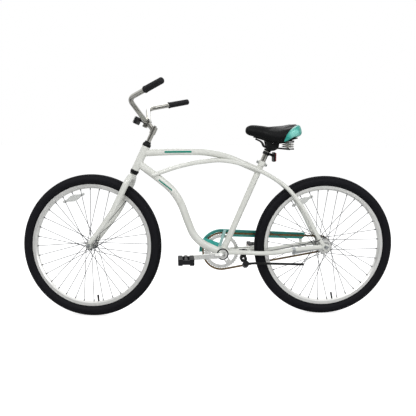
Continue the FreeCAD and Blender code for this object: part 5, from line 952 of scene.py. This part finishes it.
@dataclass
class Saddle:
    """Padded saddle: black vinyl cover with teal panels sewn into its rear corners."""

    clamp: Point = (-273.34, 0.0, 794.91)
    upper_band: Band = (55.0, 95.0)
    lobe_lift: float = 15.0
    lobe_place: float = 64.0
    lobe_width: float = 32.0
    lobe_band: Band = (84.0, 136.0)
    skirt_lift: float = 9.0
    skirt_band: Band = (58.0, 105.0)
    skirt_sides: Band = (52.0, 88.0)
    tail_trim: float = 5.0
    tail_lean: float = 9.0
    tail_band: Band = (95.0, 146.0)
    seam_centre: tuple[float, float] = (150.0, 20.0)
    seam_radius: float = 94.0
    seam_side: float = 50.0
    seam_arc: Band = (60.0, 200.0)
    seam_cuts: int = 28
    cut_gap: float = 0.05
    cut_merge: float = 0.12
    voxel: float = 5.0
    swell: float = 5.0
    pressure: float = 4.0
    cloth_mass: float = 0.3
    stiffness: float = 25.0
    frames: int = 20
    pan_facing: float = -0.75
    seam_depth: float = 1.7
    seam_reach: float = 4.5
    panel_crown: float = 2.0
    crown_reach: float = 14.0
    stitch_pitch: float = 6.5
    stitch_size: Point = (1.9, 0.55, 0.45)
    stitch_inset: float = 3.2
    stitch_facing: float = -0.3

    def cushion(self, nodes: dict[str, bpy.types.Object]) -> bpy.types.Object:
        """Blow up a copy of the cover and its panels as one stuffed body.

        Args:
            nodes: objects of the CAD nodes.

        Returns:
            The cushion as one closed mesh.
        """
        shape = copied_mesh([nodes["saddle_cover"], nodes["saddle_panels"]])
        piece = new_object("saddle_cushion", shape)
        remesh = piece.modifiers.new("Even faces", "REMESH")
        remesh.mode = "VOXEL"
        remesh.voxel_size = self.voxel * MM
        apply_modifiers(piece)
        self.shape_tail(piece)
        self.inflate(piece)
        relax = piece.modifiers.new("Relax", "SMOOTH")
        relax.factor = 0.5
        relax.iterations = 6
        finer = piece.modifiers.new("Finer", "SUBSURF")
        finer.levels = finer.render_levels = 1
        apply_modifiers(piece)
        return piece

    def shape_tail(self, piece: bpy.types.Object) -> None:
        """Raise two lobes and the outer skirt at the rear, with a shallow channel between the lobes."""
        for vert in piece.data.vertices:
            back = vert.co.x / MM - self.clamp[0]
            side = abs(vert.co.y) / MM
            upper = smooth_step(self.upper_band, vert.co.z / MM - self.clamp[2])
            lobe = self.lobe_lift * math.exp(-(((side - self.lobe_place) / self.lobe_width) ** 2))
            lobe *= smooth_step(self.lobe_band, back)
            skirt = self.skirt_lift * smooth_step(self.skirt_band, back)
            skirt *= smooth_step(self.skirt_sides, side)
            vert.co.z += (upper * lobe + (1 - upper) * skirt) * MM
            trim = self.tail_trim + self.tail_lean * upper
            vert.co.x -= trim * smooth_step(self.tail_band, back) * MM

    def inflate(self, piece: bpy.types.Object) -> None:
        """Run the cloth under pressure, then hold every point to the allowed swell."""
        start = [vert.co.copy() for vert in piece.data.vertices]
        floor = piece.vertex_groups.new(name="pan")
        for vert in piece.data.vertices:
            if vert.normal.z < self.pan_facing:
                floor.add([vert.index], 1.0, "REPLACE")
        cloth = piece.modifiers.new("Stuffing", "CLOTH")
        cloth.settings.use_pressure = True
        cloth.settings.uniform_pressure_force = self.pressure
        cloth.settings.vertex_group_mass = "pan"
        cloth.settings.effector_weights.gravity = 0.0
        cloth.settings.mass = self.cloth_mass
        cloth.settings.tension_stiffness = self.stiffness
        cloth.settings.compression_stiffness = self.stiffness
        scene = bpy.context.scene
        for frame in range(1, self.frames + 1):
            scene.frame_set(frame)
        apply_modifiers(piece)
        scene.frame_set(1)
        cap = self.swell * MM
        for vert, before in zip(piece.data.vertices, start):
            move = vert.co - before
            if move.length > cap:
                vert.co = before + move * (cap / move.length)
        piece.vertex_groups.clear()

    def from_seam(self, point: Vector) -> tuple[float, float, float]:
        """Place a point against the round seam.

        Args:
            point: place in metres.

        Returns:
            Distance from the seam's axis and angle round it, and how far inside a panel the point
            is, negative outside, all in millimetres and radians.
        """
        across = point.x / MM - self.clamp[0] - self.seam_centre[0]
        up = point.z / MM - self.clamp[2] - self.seam_centre[1]
        away = math.hypot(across, up)
        inside = min(self.seam_radius - away, abs(point.y) / MM - self.seam_side)
        return away, math.atan2(up, across), inside

    def cut(
        self, shape: bmesh.types.BMesh, faces: list[bmesh.types.BMFace], place: Vector, facing: Vector
    ) -> None:
        """Cut faces along a plane."""
        edges = {edge for face in faces for edge in face.edges}
        verts = {vert for face in faces for vert in face.verts}
        geom = [*verts, *edges, *faces]
        bmesh.ops.bisect_plane(shape, geom=geom, dist=self.cut_gap * MM, plane_co=place, plane_no=facing)

    def cut_seams(self, shape: bmesh.types.BMesh) -> None:
        """Lay edges along the panels' seams: two flat cuts, and a fan of cuts round the corner."""
        band = 2.0 * self.voxel
        for side in (1, -1):
            near = []
            for face in shape.faces:
                middle = face.calc_center_median()
                if abs(middle.y / MM - side * self.seam_side) < band:
                    near.append(face)
            self.cut(shape, near, metres((0, side * self.seam_side, 0)), Vector((0, side, 0)))
        first, last = (math.radians(angle) for angle in self.seam_arc)
        step = (last - first) / self.seam_cuts
        centre = Vector((self.clamp[0] + self.seam_centre[0], 0, self.clamp[2] + self.seam_centre[1]))
        for number in range(self.seam_cuts):
            near = []
            for face in shape.faces:
                away, angle, _ = self.from_seam(face.calc_center_median())
                share = (angle % FULL_TURN - first) / step
                if abs(away - self.seam_radius) < band and number <= share < number + 1:
                    near.append(face)
            middle = first + (number + 0.5) * step
            facing = Vector((math.cos(middle), 0, math.sin(middle)))
            place = centre + facing * self.seam_radius * math.cos(step / 2)
            self.cut(shape, near, place * MM, facing)
        bmesh.ops.remove_doubles(shape, verts=shape.verts, dist=self.cut_merge * MM)

    def puff(self, shape: bmesh.types.BMesh) -> None:
        """Draw the skin in along the seams and crown the panels between them."""
        shape.normal_update()
        moves = []
        for vert in shape.verts:
            inside = self.from_seam(vert.co)[2]
            lift = -self.seam_depth * math.exp(-((inside / self.seam_reach) ** 2))
            if inside > 0:
                lift += self.panel_crown * (1 - math.exp(-inside / self.crown_reach))
            moves.append((vert, vert.normal * lift * MM))
        for vert, move in moves:
            vert.co += move

    def seam_runs(self, edges: list[bmesh.types.BMEdge]) -> list[list[Vector]]:
        """String loose seam edges into lines of points."""
        links: dict[bmesh.types.BMVert, list[bmesh.types.BMVert]] = {}
        for edge in edges:
            for one, other in (edge.verts, reversed(edge.verts)):
                links.setdefault(one, []).append(other)
        runs = []
        while links:
            here = next(iter(links))
            run = [here.co.copy()]
            while links.get(here):
                ahead = links[here].pop()
                links[ahead].remove(here)
                run.append(ahead.co.copy())
                here = ahead
            links = {vert: rest for vert, rest in links.items() if rest}
            if len(run) > 2:
                runs.append(run)
        return runs

    def stitches(self, runs: list[list[Vector]], skin: BVHTree) -> bpy.types.Object:
        """Sew a row of short stitches beside each seam, where it can be seen.

        Args:
            runs: points along each seam, in metres.
            skin: search tree of the cushion's surface.

        Returns:
            All stitches as one piece.
        """
        shape = bmesh.new()
        size = Matrix.Diagonal((*metres(self.stitch_size), 1.0))
        for run in runs:
            due = 0.0
            for start, end in zip(run, run[1:]):
                gap = (end - start).length / MM
                while due < gap:
                    spot = start.lerp(end, due / gap)
                    due += self.stitch_pitch
                    ahead = (end - start).normalized()
                    _, normal, _, _ = skin.find_nearest(spot)
                    beside = ahead.cross(normal).normalized() * self.stitch_inset * MM
                    spots = (spot + beside, spot - beside)
                    outer = min(spots, key=lambda place: self.from_seam(place)[2])
                    place, normal, _, _ = skin.find_nearest(outer)
                    if normal.z < self.stitch_facing:
                        continue
                    across = normal.cross(ahead).normalized()
                    axes = Matrix((across.cross(normal), across, normal)).transposed().to_4x4()
                    bmesh.ops.create_uvsphere(
                        shape,
                        u_segments=8,
                        v_segments=6,
                        radius=1.0,
                        matrix=Matrix.Translation(place) @ axes @ size,
                    )
                due -= gap
        piece = new_object("saddle_stitches", shape)
        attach(piece, "saddle")
        return piece

    def build(self, nodes: dict[str, bpy.types.Object]) -> list[bpy.types.Object]:
        """Make the cover, the panels and the stitching between them.

        Args:
            nodes: objects of the CAD nodes.

        Returns:
            Cover, panels and stitches, all riding on the saddle.
        """
        body = self.cushion(nodes)
        shape = bmesh.new()
        shape.from_mesh(body.data)
        bpy.data.objects.remove(body)
        self.cut_seams(shape)
        chosen = {face for face in shape.faces if self.from_seam(face.calc_center_median())[2] > 0}
        self.puff(shape)
        shape.normal_update()
        seam = [edge for edge in shape.edges if len({face in chosen for face in edge.link_faces}) == 2]
        sewn = self.stitches(self.seam_runs(seam), BVHTree.FromBMesh(shape))
        shape.faces.index_update()
        keep = {face.index for face in chosen}
        panels = shape.copy()
        bmesh.ops.delete(panels, geom=[f for f in panels.faces if f.index not in keep], context="FACES")
        bmesh.ops.delete(shape, geom=list(chosen), context="FACES")
        pieces = []
        for name, part, node in (
            ("saddle_padded_cover", shape, "saddle_cover"),
            ("saddle_padded_panels", panels, "saddle_panels"),
        ):
            piece = new_object(name, part, 60.0)
            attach(piece, "saddle")
            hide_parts(node)
            pieces.append(piece)
        return pieces + [sewn]


@dataclass
class Stripe:
    """Plain bar of vinyl film on both sides of a frame tube."""

    name: str
    node: str
    line: Sequence[tuple[float, float]]
    half: float
    lift: float = 0.25
    faces: tuple[int, int] = (60, 8)
    tip: float = 0.02
    tip_round: float = 0.75
    reach: float = 80.0

    def build(self, nodes: dict[str, bpy.types.Object]) -> bpy.types.Object:
        """Lay a fine grid along the line and press it on the tube.

        Args:
            nodes: objects of the CAD nodes.

        Returns:
            The film, riding on the frame.
        """
        shape = bmesh.new()
        skin = skin_of(nodes[self.node])
        columns, rows = self.faces
        start, end = (Vector((x, 0, z)) * MM for x, z in self.line)
        along = end - start
        up = Vector((-along.z, 0, along.x)).normalized()
        for side in (1, -1):
            grid = bmesh.ops.create_grid(shape, x_segments=columns, y_segments=rows, size=0.5)["verts"]
            for vert in grid:
                share, height = vert.co.x + 0.5, 2 * vert.co.y
                tip = max(0.0, abs(vert.co.x) - 0.5 + self.tip) / self.tip
                height *= math.sqrt(max(0.0, 1 - tip**2 * self.tip_round))
                spot = start + along * share + up * height * self.half * MM
                origin = Vector((spot.x, side * self.reach * MM, spot.z))
                place, normal, _, _ = skin.ray_cast(origin, Vector((0, -side, 0)))
                vert.co = place + normal * self.lift * MM
        bmesh.ops.recalc_face_normals(shape, faces=shape.faces)
        piece = new_object(self.name, shape)
        skinned = piece.modifiers.new("Film", "SOLIDIFY")
        skinned.thickness = self.lift * MM
        skinned.offset = -1.0
        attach(piece, "frame")
        return piece


@dataclass
class Weld:
    """Painted weld bead where one tube ends on another."""

    name: str
    node: str
    place: Point
    aim: Point
    radius: float
    bead: float = 1.9
    ripple: float = 3.2
    ripple_depth: float = 0.14
    points: int = 160

    def build(self, nodes: dict[str, bpy.types.Object]) -> bpy.types.Object:
        """Find the joint line by looking along the tube, and run a rippled bead along it.

        Args:
            nodes: objects of the CAD nodes.

        Returns:
            The bead, riding on the frame.
        """
        skin = skin_of(nodes[self.node])
        ahead = (Vector(self.aim) - Vector(self.place)).normalized()
        side = ahead.orthogonal().normalized()
        up = ahead.cross(side)
        line = []
        for step in range(self.points):
            angle = FULL_TURN * step / self.points
            start = metres(self.place) + (side * math.cos(angle) + up * math.sin(angle)) * self.radius * MM
            hit = skin.ray_cast(start, ahead)[0]
            if hit is not None:
                line.append(hit)
        curve = bpy.data.curves.new(self.name, "CURVE")
        curve.dimensions = "3D"
        curve.bevel_depth = self.bead * MM
        curve.bevel_resolution = 3
        spline = curve.splines.new("POLY")
        spline.points.add(len(line) - 1)
        spline.use_cyclic_u = True
        run = 0.0
        for point, here, before in zip(spline.points, line, line[-1:] + line):
            run += (here - before).length / MM
            point.co = (*here, 1.0)
            point.radius = 1.0 + self.ripple_depth * math.cos(FULL_TURN * run / self.ripple)
        wire = bpy.data.objects.new(self.name, curve)
        bpy.context.scene.collection.objects.link(wire)
        graph = bpy.context.evaluated_depsgraph_get()
        mesh = bpy.data.meshes.new_from_object(wire.evaluated_get(graph))
        bpy.data.objects.remove(wire)
        bpy.data.curves.remove(curve)
        shape = bmesh.new()
        shape.from_mesh(mesh)
        bpy.data.meshes.remove(mesh)
        piece = new_object(self.name, shape, 180.0)
        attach(piece, "frame")
        return piece


@dataclass
class ScrewHead:
    """Domed screw head with a hexagon socket, over the plain head of the CAD's screw."""

    name: str
    body: str
    place: Point
    facing: Point
    radius: float = 5.9
    height: float = 5.4
    wall: float = 0.2
    socket: float = 2.9
    socket_slope: float = 0.2
    steps: int = 36

    def build(self) -> bpy.types.Object:
        """Turn the head, sink its socket and round its edge.

        Returns:
            The head, riding on its body.
        """
        dome = [(0.0, 0.0), (1.0, 0.0), (1.0, 0.55), (0.93, 0.8), (0.78, 0.95), (0.62, 1.0), (0.0, 1.0)]
        line = [metres((self.radius * r, 0, self.height * h)) for r, h in dome]
        shape = spun(line, (0, 0, 1), self.steps, closed=False)
        top = [face for face in shape.faces if face.calc_center_median().z > 0.99 * self.height * MM]
        bmesh.ops.dissolve_faces(shape, faces=top)
        cap = max(shape.faces, key=lambda face: face.calc_center_median().z)
        bmesh.ops.inset_region(shape, faces=[cap], thickness=self.wall * self.radius * MM)
        bmesh.ops.inset_region(
            shape, faces=[cap], thickness=self.socket_slope * MM, depth=-self.socket * MM
        )
        bmesh.ops.recalc_face_normals(shape, faces=shape.faces)
        stand_up(shape, self.place, self.facing)
        piece = new_object(self.name, shape, 35.0)
        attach(piece, self.body)
        return piece


GRIPS = (
    Grip("grip_left", (-767.53, -327.53, 1073.87), (-912.82, -158.76, 1006.61)),
    Grip("grip_right", (-645.01, 318.53, 1017.26), (-843.76, 205.38, 974.70)),
)

STRIPES = (
    Stripe("top_tube_stripe", "top_tube", ((-760.0, 772.6), (-634.0, 775.0)), 4.6),
    Stripe("down_tube_stripe", "down_tube", ((-786.0, 644.0), (-724.0, 594.5)), 3.2),
)

WELDS = (
    Weld("weld_top_head", "head_tube", (-790.0, 0.0, 770.4), (-859.2, 0.0, 765.92), 15.9),
    Weld("weld_down_head", "head_tube", (-810.0, 0.0, 666.97), (-880.59, 0.0, 719.63), 18.0),
    Weld("weld_seat_shell", "bottom_bracket_shell", (-454.0, 0.0, 369.3), (-485.11, 0.0, 296.0), 14.5),
    Weld("weld_down_shell", "bottom_bracket_shell", (-534.08, 0.0, 317.68), (-485.11, 0.0, 296.0), 18.0),
    Weld("weld_left_stay", "bottom_bracket_shell", (-413.1, -22.45, 301.9), (-473.1, -22.0, 301.0), 10.5),
    Weld("weld_right_stay", "bottom_bracket_shell", (-413.1, 22.45, 301.9), (-473.1, 22.0, 301.0), 10.5),
)

SCREWS = (
    ScrewHead("collar_screw_rear", "frame", (-284.4, -5.4, 713.8), (0.0, -1.0, 0.0)),
    ScrewHead("collar_screw_front", "frame", (-324.0, -5.4, 730.6), (0.0, -1.0, 0.0)),
)


@dataclass(frozen=True)
class Lamp:
    """One square soft lamp: where it hangs and what it points at in metres, its side and its watts."""

    name: str
    place: Point
    aim: Point
    power: float
    size: float = 2.4

    def hang(self) -> None:
        """Add the lamp to the scene."""
        data = bpy.data.lights.new(self.name, "AREA")
        data.size = self.size
        data.energy = self.power
        lamp = bpy.data.objects.new(self.name, data)
        lamp.location = self.place
        lamp.rotation_mode = "QUATERNION"
        lamp.rotation_quaternion = (Vector(self.aim) - Vector(self.place)).to_track_quat("-Z", "Y")
        bpy.context.scene.collection.objects.link(lamp)


LAMPS = (
    Lamp("key", (-2.6, -3.4, 3.6), (-0.55, 0.0, 0.5), 95.0),
    Lamp("fill", (1.9, -3.0, 2.4), (-0.5, 0.0, 0.5), 45.0),
    Lamp("rim", (-0.5, 3.0, 3.2), (-0.5, 0.0, 0.6), 45.0),
)


@dataclass
class Studio:
    """Plain white room: floor, soft lamps and the camera that stands to the left of the bicycle.

    Mirrored in metal, the room is white above and behind the bicycle and dark elsewhere. The bands
    are the heights and depths of a direction over which the one turns into the other.
    """

    camera_place: Point = (-729.0, -2901.0, 872.0)
    yaw: float = 3.44
    pitch: float = 7.09
    roll: float = -0.61
    focal_pixels: float = 621.0
    image_pixels: float = 416.0
    sensor: float = 36.0
    far: float = 100.0
    fill_light: float = 0.48
    dark_side: float = 0.12
    above_band: Band = (0.2, 0.55)
    behind_band: Band = (-0.05, 0.25)
    floor_half: float = 30.0
    floor_glow: float = 0.72

    def camera(self) -> None:
        """Set the camera at the photograph's place and angle."""
        yaw, pitch, roll = (math.radians(a) for a in (self.yaw, self.pitch, self.roll))
        ahead = Vector(
            (math.sin(yaw) * math.cos(pitch), math.cos(yaw) * math.cos(pitch), -math.sin(pitch))
        )
        right = Vector((math.cos(yaw), -math.sin(yaw), 0.0))
        down = ahead.cross(right)
        across = math.cos(roll) * right + math.sin(roll) * down
        below = -math.sin(roll) * right + math.cos(roll) * down
        data = bpy.data.cameras.new("camera")
        data.sensor_width = self.sensor
        data.sensor_fit = "HORIZONTAL"
        data.lens = self.focal_pixels / self.image_pixels * self.sensor
        data.clip_end = self.far
        camera = bpy.data.objects.new("camera", data)
        columns = Matrix((across, -below, -ahead)).transposed().to_4x4()
        camera.matrix_world = Matrix.Translation(metres(self.camera_place)) @ columns
        bpy.context.scene.collection.objects.link(camera)
        bpy.context.scene.camera = camera

    def world(self) -> None:
        """Fill the room with soft light, and show plain white where nothing stands."""
        world = bpy.data.worlds.new("studio")
        bpy.context.scene.world = world
        world.use_nodes = True
        tree = world.node_tree
        tree.nodes.clear()
        path = add_node(tree, "ShaderNodeLightPath")
        seen = add_node(
            tree,
            "ShaderNodeMath",
            {"operation": "MAXIMUM"},
            {0: path.outputs["Is Camera Ray"], 1: path.outputs["Is Transmission Ray"]},
        )
        way = add_node(tree, "ShaderNodeTexCoord")
        parts = add_node(tree, "ShaderNodeSeparateXYZ", None, {"Vector": way.outputs["Generated"]})
        sides = []
        for axis, (low, high) in (("Z", self.above_band), ("Y", self.behind_band)):
            side = add_node(
                tree,
                "ShaderNodeMapRange",
                {
                    "interpolation_type": "SMOOTHSTEP",
                    "From Min": low,
                    "From Max": high,
                    "To Min": self.dark_side,
                },
                {"Value": parts.outputs[axis]},
            )
            sides.append(side.outputs["Result"])
        bright = add_node(tree, "ShaderNodeMath", {"operation": "MAXIMUM"}, {0: sides[0], 1: sides[1]})
        room = add_node(
            tree, "ShaderNodeBackground", {"Color": linear("#F4F5F6"), "Strength": self.fill_light}
        )
        mirrored = add_node(
            tree, "ShaderNodeBackground", {"Color": (1, 1, 1, 1)}, {"Strength": bright.outputs["Value"]}
        )
        white = add_node(tree, "ShaderNodeBackground", {"Color": (1, 1, 1, 1), "Strength": 1.0})
        lit = add_node(
            tree,
            "ShaderNodeMixShader",
            None,
            {
                0: path.outputs["Is Glossy Ray"],
                1: room.outputs["Background"],
                2: mirrored.outputs["Background"],
            },
        )
        mixed = add_node(
            tree,
            "ShaderNodeMixShader",
            None,
            {0: seen.outputs["Value"], 1: lit.outputs["Shader"], 2: white.outputs["Background"]},
        )
        add_node(tree, "ShaderNodeOutputWorld", None, {"Surface": mixed.outputs["Shader"]})

    def floor(self) -> bpy.types.Object:
        """Lay the pale floor, which keeps the shadow.

        Returns:
            The floor, marked as stage.
        """
        shape = bmesh.new()
        bmesh.ops.create_grid(shape, x_segments=1, y_segments=1, size=self.floor_half)
        floor = new_object("floor", shape)
        made = bpy.data.materials.new("white_seamless_paper")
        made.use_nodes = True
        tree = made.node_tree
        tree.nodes.clear()
        path = add_node(tree, "ShaderNodeLightPath")
        paper = add_node(tree, "ShaderNodeBsdfDiffuse", {"Color": linear("#DCDCDC")})
        glow = add_node(tree, "ShaderNodeEmission", {"Color": (1, 1, 1, 1), "Strength": self.floor_glow})
        lit = add_node(
            tree, "ShaderNodeAddShader", None, {0: paper.outputs["BSDF"], 1: glow.outputs["Emission"]}
        )
        mixed = add_node(
            tree,
            "ShaderNodeMixShader",
            None,
            {0: path.outputs["Is Camera Ray"], 1: paper.outputs["BSDF"], 2: lit.outputs["Shader"]},
        )
        add_node(tree, "ShaderNodeOutputMaterial", None, {"Surface": mixed.outputs["Shader"]})
        floor.data.materials.append(made)
        return floor

    def build(self) -> None:
        """Set up the whole room."""
        bpy.context.scene.view_settings.view_transform = "Standard"
        self.camera()
        self.world()
        self.floor()
        for lamp in LAMPS:
            lamp.hang()


@dataclass
class Bicycle:
    """The whole bicycle: CAD nodes with their finishes, and the pieces that replace some of them."""

    frame: dict[str, Any]
    wardrobe: Wardrobe = field(default_factory=Wardrobe)
    steering_foot: Point = (-1066.41, 0.0, 317.48)
    head_tilt: float = 24.8
    steer: float = 11.8
    rake: float = 37.0
    rear_hub: Point = (0.0, 0.0, 333.0)

    def hubs(self) -> dict[str, Matrix]:
        """Give each wheel's place, with its axle along Y."""
        front = (
            Matrix.Translation(metres(self.steering_foot))
            @ Matrix.Rotation(math.radians(self.head_tilt), 4, "Y")
            @ Matrix.Rotation(math.radians(-self.steer), 4, "Z")
            @ Matrix.Translation(metres((-self.rake, 0, 0)))
        )
        return {"front": front, "rear": Matrix.Translation(metres(self.rear_hub))}

    def dress_nodes(self) -> None:
        """Give every CAD node the finish of its slot."""
        hubs = self.hubs()
        for part in self.frame["record"]["subparts"]:
            node, slot = part["node"], part["material_slot"]
            wheel = node.split("_")[0] if slot == "rim_silver" else ""
            finish = NODE_FINISHES.get(node, FINISHES[slot])
            self.wardrobe.dress(self.frame["nodes"][node], finish, wheel, hubs.get(wheel))

    def build(self) -> list[bpy.types.Object]:
        """Build the new pieces and dress everything.

        Returns:
            The new pieces.
        """
        self.dress_nodes()
        hubs = self.hubs()
        nodes = self.frame["nodes"]
        pieces = []
        for wheel in ("front", "rear"):
            tyre = Tyre(f"{wheel}_treaded_tyre", f"{wheel}_wheel", hubs[wheel]).build()
            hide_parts(f"{wheel}_tyre")
            self.finish(tyre, "tyre")
            spokes = Spokes(wheel).build(nodes)
            self.finish(spokes, "steel", SPOKE_WIRE)
            pieces += [tyre, spokes]
        for handle in GRIPS:
            grip = handle.build()
            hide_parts("handlebar_grips")
            self.finish(grip, "grip_rubber")
            pieces.append(grip)
        cover, panels, stitches = Saddle().build(nodes)
        self.finish(cover, "saddle_black")
        self.finish(panels, "saddle_teal")
        self.finish(stitches, "saddle_black", THREAD)
        pieces += [cover, panels, stitches]
        for stripe in STRIPES:
            film = stripe.build(nodes)
            self.finish(film, "teal_paint", TEAL_FILM)
            pieces.append(film)
        for weld in WELDS:
            bead = weld.build(nodes)
            self.finish(bead, "frame_white")
            pieces.append(bead)
        for screw in SCREWS:
            head = screw.build()
            self.finish(head, "steel")
            pieces.append(head)
        return pieces

    def finish(self, piece: bpy.types.Object, slot: str, special: Optional[Finish] = None) -> None:
        """Dress a new piece with the finish of a slot, or with its own finish where the slot's isn't right.
        """
        self.wardrobe.dress(piece, special or FINISHES[slot])


def main() -> None:
    """Build the scene in order."""
    logging.basicConfig(level=logging.INFO, format="%(name)s: %(message)s")
    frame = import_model()
    Studio().build()
    for piece in Bicycle(frame).build():
        LOG.info("%s is built", piece.name)


if __name__ == "__main__":
    main()
